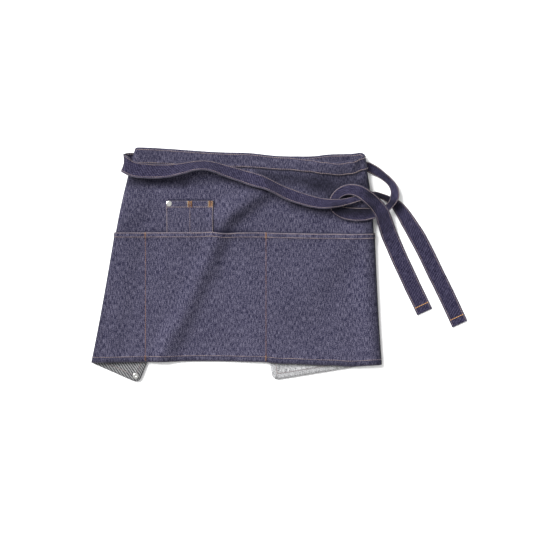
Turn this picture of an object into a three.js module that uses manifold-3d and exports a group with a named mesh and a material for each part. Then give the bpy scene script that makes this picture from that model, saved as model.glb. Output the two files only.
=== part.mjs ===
// Waist apron in dark denim, laid flat with its sides folded back and its ties half knotted.
// Millimetres, +Z up. X runs across the apron, Y from the hem to the waist, z = 0 is the surface it lies on.
import * as THREE from 'three';
import { mergeVertices } from 'three/addons/utils/BufferGeometryUtils.js';
import Module from 'manifold-3d';

// Sizes of the cut cloth
const cutWidth = 696;
const cutHeight = 330;
const clothWall = 1.1;
const hemExtra = 0.9;
const hemWidth = 12;
const cornerRadius = 8;

// Sizes of the waistband and the two ties, one folded strip
const bandHeight = 25.4;
const tieWidth = 25.4;
const tieThick = 2.2;

// Sizes of the pockets
const pocketHeight = 200;
const pocketWall = 1.1;
const pocketGape = 3.2;
const gapeDepth = 55;
const dividerReach = 185;
const penWidth = 72.7;
const penDepth = 108;
const penRise = 48;
const penWall = 1.1;
const penFromDivider = 32.2;

// Sizes of the rivets
const rivetCap = 9;
const rivetCapThick = 0.9;
const rivetShank = 3.2;
const rivetInset = 8.5;

// Clearances between pieces, and between the front and the flaps behind it
const gap = 0.35;
const layerGap = 1.4;
const tieClear = 0.8;

// How the cloth lies
const mouthLift = 13;
const mouthReach = 42;
const tieZoneRamp = 80;
const tieZoneShare = 0.71;
const slopeWidth = 58;
const puffReach = 42;
const foldBow = 5.2;
const leadReach = 10;
const seamReach = 25;
const penEase = 13;
const besidePen = 3;

// The two fold lines: where each crosses the hem and the waist, as shares of half the cut width.
const folds = {
  left: { side: -1, hem: 0.766, waist: 0.569 },
  right: { side: 1, hem: 0.506, waist: 0.43 },
};

// Radius of each fold up its height: up is a share of the cut height, the radii are in millimetres.
const foldRadii = [
  { up: 0.0, left: 3.4, right: 3.4 },
  { up: 0.35, left: 3.8, right: 3.8 },
  { up: 0.75, left: 4.4, right: 4.6 },
  { up: 1.0, left: 4.6, right: 6.2 },
];

// Front waist: across is a share of half the cut width; dip is how far the edge sinks, a share of the
// cut height; lift is how far the mouth opens there, a share of the mouth's lift.
const waistLine = [
  { across: -0.58, dip: 0.0, lift: 0.0 },
  { across: -0.12, dip: 0.024, lift: 0.0 },
  { across: 0.09, dip: 0.0415, lift: 0.06 },
  { across: 0.19, dip: 0.053, lift: 0.42 },
  { across: 0.25, dip: 0.065, lift: 0.78 },
  { across: 0.32, dip: 0.0735, lift: 1.0 },
  { across: 0.37, dip: 0.067, lift: 0.85 },
  { across: 0.43, dip: 0.044, lift: 0.0 },
];

// Front hem: rise is how far the edge lies above a straight line, a share of the cut height.
const hemLine = [
  { across: -0.77, rise: 0.0 },
  { across: -0.25, rise: 0.0066 },
  { across: -0.03, rise: 0.003 },
  { across: 0.08, rise: -0.006 },
  { across: 0.29, rise: -0.0135 },
  { across: 0.37, rise: -0.0187 },
  { across: 0.51, rise: -0.011 },
];

// Waist edge of the right flap: along is a share of the flap's own reach from the fold, rise a share of
// the cut height.
const flapLine = [
  { along: 0.0, rise: -0.018 },
  { along: 0.3, rise: -0.001 },
  { along: 0.63, rise: 0.021 },
  { along: 1.0, rise: 0.008 },
];

// Soft ridges of the front: both ends as shares (across of half the cut width, up of the cut height),
// height in shares of the tallest ridge and width in shares of the widest.
const ridgeHeight = 7;
const ridgeWidth = 16;
const ridges = [
  { name: 'long crease, upper part', fromX: 0.0, fromY: 0.8, toX: -0.19, toY: 0.66, height: 0.95, width: 0.85 },
  { name: 'long crease, lower part', fromX: -0.205, fromY: 0.6, toX: -0.43, toY: 0.06, height: 0.85, width: 0.95 },
  { name: 'right hollow', fromX: 0.37, fromY: 0.56, toX: 0.14, toY: 0.22, height: 0.5, width: 1.5 },
  { name: 'short crease above the hem', fromX: -0.42, fromY: 0.17, toX: -0.47, toY: 0.02, height: 0.5, width: 0.6 },
  { name: 'crease by the pen pocket', fromX: -0.15, fromY: 0.76, toX: -0.24, toY: 0.66, height: 0.45, width: 0.5 },
  { name: 'left edge', fromX: -0.6, fromY: 0.56, toX: -0.68, toY: 0.08, height: 0.3, width: 1.0 },
];

// The right tie: from the right flap's band end, left under the left flap, round the left fold and across
// the front to the right. x and y are shares of half the cut width and of the cut height; over is 0 on
// the surface and 1 on the front; layers counts strips beneath; face is the bearing of the strip's width
// in degrees; lean is its tip out of level in degrees; gather is the share of its width that is left.
const rightTieRoute = [
  { x: -0.172, y: 0.847, over: 0.0, layers: 0.0, face: 88, lean: 0, gather: 1.0 },
  { x: -0.25, y: 0.849, over: 0.0, layers: 0.0, face: 98, lean: 0, gather: 1.0 },
  { x: -0.4, y: 0.902, over: 0.0, layers: 0.0, face: 102, lean: 0, gather: 1.0 },
  { x: -0.53, y: 0.937, over: 0.0, layers: 0.0, face: 98, lean: 0, gather: 0.95 },
  { x: -0.583, y: 0.942, over: 0.0, layers: 0.0, face: 90, lean: 0, gather: 0.92 },
  { x: -0.614, y: 0.938, over: 0.14, layers: 0.0, face: 88, lean: -6, gather: 0.96 },
  { x: -0.623, y: 0.929, over: 0.55, layers: 0.0, face: 86, lean: -12, gather: 1.0 },
  { x: -0.612, y: 0.914, over: 0.93, layers: 0.05, face: 86, lean: -16, gather: 0.98 },
  { x: -0.577, y: 0.896, over: 1.0, layers: 0.05, face: 92, lean: -12, gather: 0.96 },
  { x: -0.52, y: 0.889, over: 1.0, layers: 0.05, face: 91, lean: -14, gather: 0.94 },
  { x: -0.45, y: 0.888, over: 1.0, layers: 0.05, face: 88, lean: -20, gather: 0.9 },
  { x: -0.37, y: 0.899, over: 1.0, layers: 0.05, face: 78, lean: -30, gather: 0.84 },
  { x: -0.31, y: 0.912, over: 1.0, layers: 0.05, face: 84, lean: -38, gather: 0.76 },
  { x: -0.25, y: 0.912, over: 1.0, layers: 0.05, face: 98, lean: -36, gather: 0.76 },
  { x: -0.17, y: 0.887, over: 1.0, layers: 0.05, face: 106, lean: -24, gather: 0.84 },
  { x: -0.09, y: 0.861, over: 1.0, layers: 0.05, face: 108, lean: -18, gather: 0.86 },
  { x: 0.0, y: 0.83, over: 1.0, layers: 0.05, face: 112, lean: -16, gather: 0.84 },
  { x: 0.09, y: 0.786, over: 1.0, layers: 0.05, face: 111, lean: -16, gather: 0.83 },
  { x: 0.19, y: 0.751, over: 1.0, layers: 0.2, face: 104, lean: -18, gather: 0.78 },
  { x: 0.245, y: 0.739, over: 1.0, layers: 1.0, face: 95, lean: -20, gather: 0.7 },
  { x: 0.295, y: 0.738, over: 1.0, layers: 1.25, face: 86, lean: -22, gather: 0.6 },
  { x: 0.345, y: 0.744, over: 1.0, layers: 1.2, face: 78, lean: -20, gather: 0.48 },
  { x: 0.4, y: 0.76, over: 1.0, layers: 0.95, face: 76, lean: -14, gather: 0.42 },
  { x: 0.465, y: 0.781, over: 0.86, layers: 0.6, face: 84, lean: 8, gather: 0.36 },
  { x: 0.51, y: 0.774, over: 0.42, layers: 0.15, face: 68, lean: 6, gather: 0.36 },
  { x: 0.549, y: 0.755, over: 0.1, layers: 0.0, face: 56, lean: 2, gather: 0.46 },
  { x: 0.575, y: 0.735, over: 0.0, layers: 0.0, face: 48, lean: 0, gather: 0.66 },
  { x: 0.6, y: 0.704, over: 0.0, layers: 0.0, face: 38, lean: 0, gather: 0.8 },
  { x: 0.631, y: 0.652, over: 0.0, layers: 0.0, face: 34, lean: 0, gather: 0.92 },
  { x: 0.669, y: 0.586, over: 0.0, layers: 0.0, face: 30, lean: 0, gather: 1.0 },
  { x: 0.707, y: 0.51, over: 0.0, layers: 0.0, face: 27, lean: 0, gather: 1.0 },
  { x: 0.747, y: 0.422, over: 0.0, layers: 0.0, face: 26, lean: 0, gather: 1.0 },
  { x: 0.788, y: 0.335, over: 0.0, layers: 0.0, face: 27, lean: 0, gather: 1.0 },
  { x: 0.823, y: 0.257, over: 0.0, layers: 0.0, face: 28, lean: 0, gather: 1.0 },
  { x: 0.857, y: 0.179, over: 0.0, layers: 0.0, face: 28, lean: 0, gather: 1.0 },
];

// The left tie: from the left flap's band end, right under the right flap, in a loop round the right
// tie, under and over it, and out as the left tail. Same columns as above.
const leftTieRoute = [
  { x: -0.15, y: 0.762, over: 0.0, layers: 0.0, face: 72, lean: 0, gather: 1.0 },
  { x: -0.06, y: 0.748, over: 0.0, layers: 0.0, face: 92, lean: 0, gather: 1.0 },
  { x: 0.08, y: 0.79, over: 0.0, layers: 0.0, face: 104, lean: 0, gather: 1.0 },
  { x: 0.25, y: 0.875, over: 0.0, layers: 0.0, face: 104, lean: 0, gather: 0.9 },
  { x: 0.38, y: 0.913, over: 0.0, layers: 0.0, face: 92, lean: 0, gather: 0.68 },
  { x: 0.447, y: 0.912, over: 0.0, layers: 0.0, face: 74, lean: 0, gather: 0.6 },
  { x: 0.484, y: 0.894, over: 0.0, layers: 0.0, face: 62, lean: 8, gather: 0.58 },
  { x: 0.52, y: 0.868, over: 0.0, layers: 0.0, face: 50, lean: 30, gather: 0.5 },
  { x: 0.549, y: 0.84, over: 0.0, layers: 0.2, face: 26, lean: 36, gather: 0.5 },
  { x: 0.567, y: 0.804, over: 0.12, layers: 0.95, face: 4, lean: 26, gather: 0.54 },
  { x: 0.566, y: 0.768, over: 0.3, layers: 1.25, face: -12, lean: 14, gather: 0.56 },
  { x: 0.551, y: 0.738, over: 0.5, layers: 1.0, face: -38, lean: 6, gather: 0.44 },
  { x: 0.52, y: 0.71, over: 0.8, layers: 0.45, face: -64, lean: 0, gather: 0.42 },
  { x: 0.478, y: 0.696, over: 1.0, layers: 0.0, face: -80, lean: 0, gather: 0.66 },
  { x: 0.43, y: 0.69, over: 1.0, layers: 0.0, face: -86, lean: 0, gather: 0.84 },
  { x: 0.385, y: 0.69, over: 1.0, layers: 0.0, face: -92, lean: 0, gather: 0.86 },
  { x: 0.34, y: 0.698, over: 1.0, layers: 0.0, face: -108, lean: 0, gather: 0.78 },
  { x: 0.306, y: 0.717, over: 1.0, layers: 0.0, face: -140, lean: 0, gather: 0.62 },
  { x: 0.296, y: 0.746, over: 1.0, layers: 0.1, face: -182, lean: 0, gather: 0.54 },
  { x: 0.31, y: 0.776, over: 1.0, layers: 0.35, face: -220, lean: 0, gather: 0.56 },
  { x: 0.338, y: 0.797, over: 1.0, layers: 1.6, face: -246, lean: 0, gather: 0.62 },
  { x: 0.372, y: 0.803, over: 1.0, layers: 2.35, face: -268, lean: 0, gather: 0.68 },
  { x: 0.407, y: 0.794, over: 1.0, layers: 2.4, face: -296, lean: 0, gather: 0.76 },
  { x: 0.442, y: 0.771, over: 1.0, layers: 2.3, face: -309, lean: 0, gather: 0.82 },
  { x: 0.475, y: 0.74, over: 1.0, layers: 1.8, face: -318, lean: 0, gather: 0.86 },
  { x: 0.507, y: 0.697, over: 0.85, layers: 1.45, face: -328, lean: 0, gather: 0.92 },
  { x: 0.524, y: 0.655, over: 0.55, layers: 0.5, face: -337, lean: 0, gather: 0.96 },
  { x: 0.543, y: 0.6, over: 0.16, layers: 0.0, face: -338, lean: 0, gather: 1.0 },
  { x: 0.567, y: 0.542, over: 0.0, layers: 0.0, face: -336, lean: 0, gather: 1.0 },
  { x: 0.593, y: 0.479, over: 0.0, layers: 0.0, face: -335, lean: 0, gather: 1.0 },
  { x: 0.622, y: 0.414, over: 0.0, layers: 0.0, face: -335, lean: 0, gather: 1.0 },
  { x: 0.65, y: 0.35, over: 0.0, layers: 0.0, face: -335, lean: 0, gather: 1.0 },
  { x: 0.676, y: 0.294, over: 0.0, layers: 0.0, face: -334, lean: 0, gather: 1.0 },
  { x: 0.702, y: 0.2355, over: 0.0, layers: 0.0, face: -334, lean: 0, gather: 1.0 },
];

// Facets of a tie between one row of its route and the next
const stepsPerRow = 3;

const halfWidth = cutWidth / 2;
const pocketStack = pocketWall + gap;
const leaf = clothWall + gap;
const tieStack = tieThick + gap + leaf;
const bandFold = clothWall + gap;
const panelTop = cutHeight - bandFold - clothWall / 2;
const tieZone = cutHeight * tieZoneShare;
const drillLength = 2 * (hemExtra + 5 * leaf);

function smooth(low, high, value) {
  return THREE.MathUtils.smoothstep(value, low, high);
}

function lookUp(table, key, column, at) {
  const last = table.length - 1;
  if (at <= table[0][key]) {
    return table[0][column];
  }
  if (at >= table[last][key]) {
    return table[last][column];
  }
  const next = table.findIndex((row) => row[key] > at);
  const share = (at - table[next - 1][key]) / (table[next][key] - table[next - 1][key]);
  const eased = 0.5 - 0.5 * Math.cos(Math.PI * share);
  return THREE.MathUtils.lerp(table[next - 1][column], table[next][column], eased);
}

// One fold line, with its direction, its outward normal and its radius at each height
function makeFold(name) {
  const { side, hem, waist } = folds[name];
  const foot = new THREE.Vector2(side * hem * halfWidth, 0);
  const head = new THREE.Vector2(side * waist * halfWidth, cutHeight);
  const along = head.clone().sub(foot).normalize();
  const out = new THREE.Vector2(side * along.y, -side * along.x);
  return {
    name,
    side,
    foot,
    along,
    out,
    bow: (v) => foldBow * Math.sin(Math.PI * THREE.MathUtils.clamp(v / cutHeight, 0, 1) ** 2),
    radius: (v) => lookUp(foldRadii, 'up', name, v / cutHeight),
  };
}

const foldLines = { left: makeFold('left'), right: makeFold('right') };

function pastFold(fold, u, v) {
  return (u - fold.foot.x) * fold.out.x + v * fold.out.y - fold.bow(v);
}

function acrossAt(fold, v, distance) {
  return fold.foot.x + (distance + fold.bow(v) - v * fold.out.y) / fold.out.x;
}

// A point of the cut cloth turned over its fold line, in plan
function turnedOver(fold, u, v) {
  const past = pastFold(fold, u, v);
  const radius = fold.radius(v);
  const back = -radius - (past + radius - Math.PI * radius);
  return new THREE.Vector2(u, v).addScaledVector(fold.out, back - past);
}

// Side edge of each flap where it lies behind the front
function flapEdge(fold) {
  const low = turnedOver(fold, fold.side * halfWidth, 0);
  const high = turnedOver(fold, fold.side * halfWidth, cutHeight);
  const along = high.clone().sub(low).normalize();
  return { low, inward: new THREE.Vector2(fold.side * along.y, -fold.side * along.x) };
}

const flapEdges = { left: flapEdge(foldLines.left), right: flapEdge(foldLines.right) };

// How fully a flap, or the ties, hold the front up at a place: 1 over them, 0 on the bare surface
function propped(x, y) {
  const bare = ['left', 'right'].reduce((product, name) => {
    const edge = flapEdges[name];
    const inside = new THREE.Vector2(x, y).sub(edge.low).dot(edge.inward);
    return product * (1 - smooth(-slopeWidth, -2, inside));
  }, 1);
  return 1 - bare * (1 - inTieZone(y));
}

function inTieZone(y) {
  return smooth(tieZone - tieZoneRamp, tieZone, y);
}

function capLift(x, y) {
  const spot = rivetSpots.flap;
  const place = turnedOver(foldLines.left, spot.u, spot.v);
  const away = place.distanceTo(new THREE.Vector2(x, y));
  return (rivetCapThick + gap) * (1 - smooth(rivetCap, rivetCap * 4, away));
}

function flapHeight(x, y) {
  const stack = THREE.MathUtils.lerp(pocketStack, tieStack, inTieZone(y));
  return stack + clothWall / 2 + capLift(x, y);
}

function spacing(y) {
  const hem = hemExtra * (1 - smooth(hemWidth, hemWidth * 2, y));
  return clothWall + layerGap + 2 * leaf * inTieZone(y) + hem;
}

function ridgeAt(x, y) {
  return ridges.reduce((height, ridge) => {
    const start = new THREE.Vector2(ridge.fromX * halfWidth, ridge.fromY * cutHeight);
    const run = new THREE.Vector2(ridge.toX * halfWidth, ridge.toY * cutHeight).sub(start);
    const reach = new THREE.Vector2(x, y).sub(start);
    const share = reach.dot(run) / run.lengthSq();
    const away = reach.cross(run) / run.length();
    const width = ridge.width * ridgeWidth;
    const ends = smooth(-0.3, 0.15, share) * (1 - smooth(0.85, 1.3, share));
    return height + ridgeHeight * ridge.height * ends * Math.exp(-((away / width) ** 2));
  }, 0);
}

function mouthAt(u, v) {
  return mouthLift * lookUp(waistLine, 'across', 'lift', u / halfWidth) * smooth(cutHeight - mouthReach, cutHeight, v);
}

function penRivetLift(u, v) {
  const away = Math.hypot(u - rivetSpots.pen.u, v - rivetSpots.pen.v);
  return (rivetCapThick + gap) * (1 - smooth(rivetCap, rivetCap * 4, away));
}

// Height of the front cloth's middle
function frontHeight(u, v, x, y) {
  const low = clothWall / 2 + gap + hemExtra * (1 - smooth(hemWidth, hemWidth * 2, y));
  const high = flapHeight(x, y) + spacing(y);
  const held = THREE.MathUtils.lerp(low, high, propped(x, y));
  const puff = ['left', 'right'].reduce((height, name) => {
    const fold = foldLines[name];
    const radius = fold.radius(v);
    const inside = -radius - pastFold(fold, u, v);
    return height + (2 * radius - spacing(y)) * (1 - smooth(0, puffReach, inside));
  }, 0);
  const clear = ['left', 'right'].reduce((share, name) => {
    return share * smooth(4, puffReach, -pastFold(foldLines[name], u, v));
  }, 1);
  return held + puff + clear * ridgeAt(x, y) + mouthAt(u, v) + penRivetLift(u, v);
}

function frontShift(u, v) {
  const share = THREE.MathUtils.clamp(v / cutHeight, 0, 1.05);
  const dip = cutHeight * lookUp(waistLine, 'across', 'dip', u / halfWidth);
  const rise = cutHeight * lookUp(hemLine, 'across', 'rise', u / halfWidth);
  return rise * (1 - share) - dip * smooth(cutHeight * 0.74, cutHeight * 1.03, v);
}

function flapShift(fold, u, v) {
  const radius = fold.radius(v);
  const past = pastFold(fold, u, v) + radius - Math.PI * radius;
  const reach = pastFold(fold, fold.side * halfWidth, v);
  const rise = fold.side > 0 ? lookUp(flapLine, 'along', 'rise', past / reach) : 0;
  return cutHeight * rise * smooth(cutHeight * 0.6, cutHeight, v);
}

// The middle of the cloth at a place of its cut shape: u across from the centre, v up from the hem
function clothMiddle(u, v) {
  const fold = u < 0 ? foldLines.left : foldLines.right;
  const past = pastFold(fold, u, v);
  const radius = fold.radius(v);
  if (past <= -radius) {
    const y = v + frontShift(u, v);
    return new THREE.Vector3(u, y, frontHeight(u, v, u, y));
  }
  const crest = acrossAt(fold, v, -radius);
  const turn = Math.min((past + radius) / radius, Math.PI);
  const share = smooth(0, Math.PI, turn);
  const shift = THREE.MathUtils.lerp(frontShift(crest, v), flapShift(fold, u, v), share);
  const extra = Math.max(past + radius - Math.PI * radius, 0);
  const plan = -radius + radius * Math.sin(turn) - extra;
  const place = new THREE.Vector2(u, v).addScaledVector(fold.out, plan - past);
  place.y += shift;
  const mouth = frontHeight(crest, v, crest, v + frontShift(crest, v));
  const floor = flapHeight(place.x, place.y);
  const top = turn < Math.PI ? mouth : floor + 2 * radius;
  return new THREE.Vector3(place.x, place.y, THREE.MathUtils.lerp(floor, top, (1 + Math.cos(turn)) / 2));
}

// The step is short round the folds and wide on the flat, so that facets laid on each other stay parallel
function clothNormal(u, v) {
  const fold = u < 0 ? foldLines.left : foldLines.right;
  const past = pastFold(fold, u, v);
  const radius = fold.radius(v);
  const away = Math.max(-radius - past, past - radius * (Math.PI - 1));
  const step = THREE.MathUtils.clamp(away / 2, 0.4, 6);
  const across = clothMiddle(u + step, v).sub(clothMiddle(u - step, v));
  const up = clothMiddle(u, v + step).sub(clothMiddle(u, v - step));
  return across.cross(up).normalize();
}

function onCloth(u, v, offset) {
  return clothMiddle(u, v).addScaledVector(clothNormal(u, v), offset);
}

// The closed slab that a box becomes when each of its corners is placed by a rule. Over the first matched
// rows both broad faces are split along the same diagonals, so that slabs laid on each other stay parallel.
function slab(across, up, matched, place) {
  const box = new THREE.BoxGeometry(1, 1, 1, across, up, 1);
  box.deleteAttribute('normal');
  box.deleteAttribute('uv');
  const geometry = mergeVertices(box, 1e-4);
  const under = box.groups.find((group) => group.materialIndex === 5);
  const corners = geometry.index;
  for (let i = under.start + (up - matched) * across * 6; i < under.start + under.count; i += 6) {
    corners.setX(i + 2, corners.getX(i + 4));
    corners.setX(i + 3, corners.getX(i));
  }
  const spots = geometry.attributes.position;
  for (let i = 0; i < spots.count; i += 1) {
    const column = Math.round((spots.getX(i) + 0.5) * across);
    const row = Math.round((spots.getY(i) + 0.5) * up);
    const point = place(column, row, Math.round(spots.getZ(i) + 0.5));
    spots.setXYZ(i, point.x, point.y, point.z);
  }
  geometry.computeVertexNormals();
  return geometry;
}

// Lines that every piece of the cloth shares. Each row of a table closes a stretch of even steps.
const pen = {
  right: -dividerReach + penFromDivider + penWidth,
  left: -dividerReach + penFromDivider,
  top: pocketHeight + penRise,
  bottom: pocketHeight + penRise - penDepth,
};
const bandLow = cutHeight - bandHeight;
const acrossLines = [
  { name: 'side', steps: 0, at: () => -halfWidth },
  { name: 'hem', steps: 1, at: () => hemWidth - halfWidth },
  { name: 'hem step', steps: 1, at: () => hemWidth * 1.3 - halfWidth },
  { name: 'flap', steps: 5, at: (v) => acrossAt(foldLines.left, v, foldLines.left.radius(v) * (Math.PI - 1)) },
  { name: 'fold', steps: 5, at: (v) => acrossAt(foldLines.left, v, -foldLines.left.radius(v)) },
  { name: 'first divider', steps: 2, at: () => -dividerReach },
  { name: 'pen left', steps: 3, at: () => pen.left },
  { name: 'pen right', steps: 5, at: () => pen.right },
  { name: 'second divider', steps: 5, at: () => 0 },
  { name: 'front', steps: 11, at: (v) => acrossAt(foldLines.right, v, -foldLines.right.radius(v)) },
  { name: 'fold', steps: 5, at: (v) => acrossAt(foldLines.right, v, foldLines.right.radius(v) * (Math.PI - 1)) },
  { name: 'flap', steps: 6, at: () => halfWidth - hemWidth * 1.3 },
  { name: 'hem step', steps: 1, at: () => halfWidth - hemWidth },
  { name: 'side', steps: 1, at: () => halfWidth },
];
const upLines = [
  { name: 'bottom', steps: 0, at: () => 0 },
  { name: 'hem', steps: 1, at: () => hemWidth },
  { name: 'hem step', steps: 1, at: () => hemWidth * 1.3 },
  { name: 'pen bottom', steps: 5, at: () => pen.bottom },
  { name: 'pocket top', steps: 3, at: () => pocketHeight },
  { name: 'pen top', steps: 3, at: () => pen.top },
  { name: 'band low', steps: 4, at: () => bandLow },
  { name: 'panel top', steps: 3, at: () => panelTop },
];

function lineAt(table, step, v) {
  let left = step;
  for (let i = 1; i < table.length; i += 1) {
    if (left <= table[i].steps) {
      return THREE.MathUtils.lerp(table[i - 1].at(v), table[i].at(v), left / table[i].steps);
    }
    left -= table[i].steps;
  }
  return table[table.length - 1].at(v);
}

function stepOf(table, name) {
  const row = table.findIndex((line) => line.name === name);
  return table.slice(0, row + 1).reduce((sum, line) => sum + line.steps, 0);
}

const wholeWidth = acrossLines.reduce((sum, line) => sum + line.steps, 0);

// Hems stand off the inner side of the panel along its bottom and side edges
function hemAt(u, v) {
  const bottom = 1 - smooth(hemWidth + 0.1, hemWidth * 1.3 - 0.1, v);
  const sides = smooth(halfWidth - hemWidth * 1.3 + 0.1, halfWidth - hemWidth - 0.1, Math.abs(u));
  return hemExtra * Math.max(bottom, sides * (1 - smooth(bandLow - 8, bandLow - 1, v)));
}

function roundedCorner(u, v) {
  const side = halfWidth - Math.abs(u);
  if (side >= hemWidth || v >= hemWidth) {
    return { u, v };
  }
  const push = cornerRadius * (1 - side / hemWidth) * (1 - v / hemWidth) * (1 - Math.SQRT1_2);
  return { u: u - Math.sign(u) * push, v: v + push };
}

function panelGeometry() {
  const up = stepOf(upLines, 'panel top');
  return slab(wholeWidth, up, up, (column, row, side) => {
    const v = lineAt(upLines, row);
    const spot = roundedCorner(lineAt(acrossLines, column, v), v);
    const inner = -clothWall / 2 - hemAt(spot.u, spot.v);
    return onCloth(spot.u, spot.v, side ? clothWall / 2 : inner);
  });
}

// The gape of the pocket's mouth between its dividers, which stays over the pen pocket
function gapeAt(u, v) {
  const cell = u / dividerReach;
  const inCell = cell - Math.floor(cell);
  const swell = Math.sin(Math.PI * inCell) ** 2 * (u < 0 && u > -dividerReach ? 1 : 0.3);
  const onFront = ['left', 'right'].reduce((share, name) => {
    return share * smooth(0, seamReach, -pastFold(foldLines[name], u, v));
  }, 1);
  const top = smooth(pocketHeight - gapeDepth, pocketHeight, v);
  const pen = (penWall + gap) * penShare(u, v);
  return Math.max(pocketGape * swell * top * onFront, pen);
}

function penShare(u, v) {
  const far = besidePen + penEase;
  const left = smooth(pen.left - far, pen.left - besidePen, u);
  const right = smooth(pen.right + besidePen, pen.right + far, u);
  return left * (1 - right) * smooth(pen.bottom - far, pen.bottom - besidePen, v);
}

function pocketGeometry() {
  const inner = clothWall / 2 + gap;
  const up = stepOf(upLines, 'pocket top');
  return slab(wholeWidth, up, up, (column, row, side) => {
    const v = lineAt(upLines, row);
    const spot = roundedCorner(lineAt(acrossLines, column, v), v);
    return onCloth(spot.u, spot.v, inner + gapeAt(spot.u, spot.v) + pocketWall * side);
  });
}

function penGeometry() {
  const first = { column: stepOf(acrossLines, 'pen left'), row: stepOf(upLines, 'pen bottom') };
  const last = { column: stepOf(acrossLines, 'pen right'), row: stepOf(upLines, 'pen top') };
  const inner = clothWall / 2 + gap;
  const up = last.row - first.row;
  return slab(last.column - first.column, up, up, (column, row, side) => {
    const v = lineAt(upLines, first.row + row);
    return onCloth(lineAt(acrossLines, first.column + column, v), v, inner + penWall * side);
  });
}

// The waistband folds over the panel's top edge: up the face, round the edge, down behind
function bandGeometry() {
  const low = stepOf(upLines, 'band low');
  const flat = stepOf(upLines, 'panel top') - low;
  const round = 4;
  return slab(wholeWidth, 2 * flat + round, flat + round / 2, (column, row, side) => {
    const angle = (Math.PI * THREE.MathUtils.clamp(row - flat, 0, round)) / round;
    const base = lineAt(upLines, low + Math.min(row, flat, 2 * flat + round - row));
    const stand = bandFold + (side - 0.5) * clothWall;
    const v = base + stand * Math.sin(angle);
    return onCloth(lineAt(acrossLines, column, base), v, stand * Math.cos(angle));
  });
}

// The top of everything sewn to the front, for the ties to lie on
function frontTop(x, y) {
  const safeY = THREE.MathUtils.clamp(y, 0, cutHeight * 1.02);
  const edge = (fold) => acrossAt(fold, safeY, -fold.radius(safeY));
  const u = THREE.MathUtils.clamp(x, edge(foldLines.left), edge(foldLines.right));
  let v = safeY;
  for (let i = 0; i < 4; i += 1) {
    v = Math.min(safeY - frontShift(u, v), cutHeight);
  }
  const band = leaf * smooth(cutHeight - bandHeight - 9, cutHeight - bandHeight - 3, v);
  const pocket = (pocketStack + gapeAt(u, v)) * (1 - smooth(pocketHeight + 2, pocketHeight + 8, v));
  return frontHeight(u, v, u, v + frontShift(u, v)) + clothWall / 2 + band + pocket;
}

function curveThrough(route, pick) {
  return new THREE.CatmullRomCurve3(route.map(pick), false, 'centripetal');
}

// A strip laid along its route, lifted over whatever lies under it
function stripGeometry(route, lead) {
  const table = [...lead, ...route.map((row) => ({ ...row, lift: 0 }))];
  const deg = Math.PI / 180;
  const path = curveThrough(table, (row) => new THREE.Vector3(row.x * halfWidth, row.y * cutHeight, row.over * 14));
  const last = table.length - 1;
  const tieSteps = last * stepsPerRow;
  const read = (column, t) => {
    const at = t * last;
    const base = Math.min(Math.floor(at), last - 1);
    const share = smooth(0, 1, at - base) * 0.4 + (at - base) * 0.6;
    return THREE.MathUtils.lerp(table[base][column], table[base + 1][column], share);
  };
  const stations = [];
  for (let i = 0; i <= tieSteps; i += 1) {
    const t = i / tieSteps;
    const spot = path.getPoint(t);
    const face = read('face', t) * deg;
    const width = tieWidth * read('gather', t);
    const lean = read('lean', t) * deg;
    const across = new THREE.Vector2(Math.cos(face), Math.sin(face));
    const over = read('over', t);
    const under = [-6, 0, 6].flatMap((ahead) => {
      return [-0.6, -0.3, 0, 0.3, 0.6].map((share) => {
        const aside = share * width;
        return frontTop(spot.x + across.x * aside + across.y * ahead, spot.y + across.y * aside - across.x * ahead);
      });
    });
    const rest = over * (Math.max(...under) + tieClear);
    const stack = read('layers', t) * (tieThick + gap) + read('lift', t);
    const height = rest + stack + tieThick / 2 + (width / 2) * Math.sin(Math.abs(lean));
    const flat = Math.cos(lean);
    stations.push({
      spot,
      over,
      height,
      width,
      hint: new THREE.Vector3(across.x * flat, across.y * flat, Math.sin(lean)),
    });
  }
  const centres = stations.map((station, i) => {
    const near = [i - 1, i + 1].map((j) => stations[THREE.MathUtils.clamp(j, 0, tieSteps)]);
    const level = near.every((other) => other.over > 0.99) && station.over > 0.99;
    const height = level ? Math.max(station.height, (near[0].height + near[1].height) / 2) : station.height;
    return new THREE.Vector3(station.spot.x, station.spot.y, height);
  });
  return slab(tieSteps, 1, 1, (i, t, side) => {
    const before = centres[Math.max(i - 1, 0)];
    const after = centres[Math.min(i + 1, tieSteps)];
    const tangent = after.clone().sub(before).normalize();
    const hint = stations[i].hint.clone();
    const across = i === 0 ? hint : hint.addScaledVector(tangent, -hint.dot(tangent)).normalize();
    const up = tangent.clone().cross(across);
    const corner = centres[i]
      .clone()
      .addScaledVector(across, (t - 0.5) * stations[i].width)
      .addScaledVector(up, (side - 0.5) * tieThick);
    corner.z = Math.max(corner.z, (side - 0.5) * up.z > 0 ? tieThick : 0);
    return corner;
  });
}

// Each tie starts at the end of its flap's band and runs on straight for a little way
function tieLead(fold) {
  const v = cutHeight - bandHeight / 2;
  const edge = fold.side * halfWidth;
  const face = clothMiddle(edge, v + 4).sub(clothMiddle(edge, v - 4));
  return [gap, leadReach].map((past) => {
    const spot = clothMiddle(edge + fold.side * past, v);
    return {
      x: spot.x / halfWidth,
      y: spot.y / cutHeight,
      over: 0,
      layers: 0,
      face: THREE.MathUtils.radToDeg(Math.atan2(face.y, face.x)),
      lean: 0,
      gather: 1,
      lift: spot.z - tieThick / 2,
    };
  });
}

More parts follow.
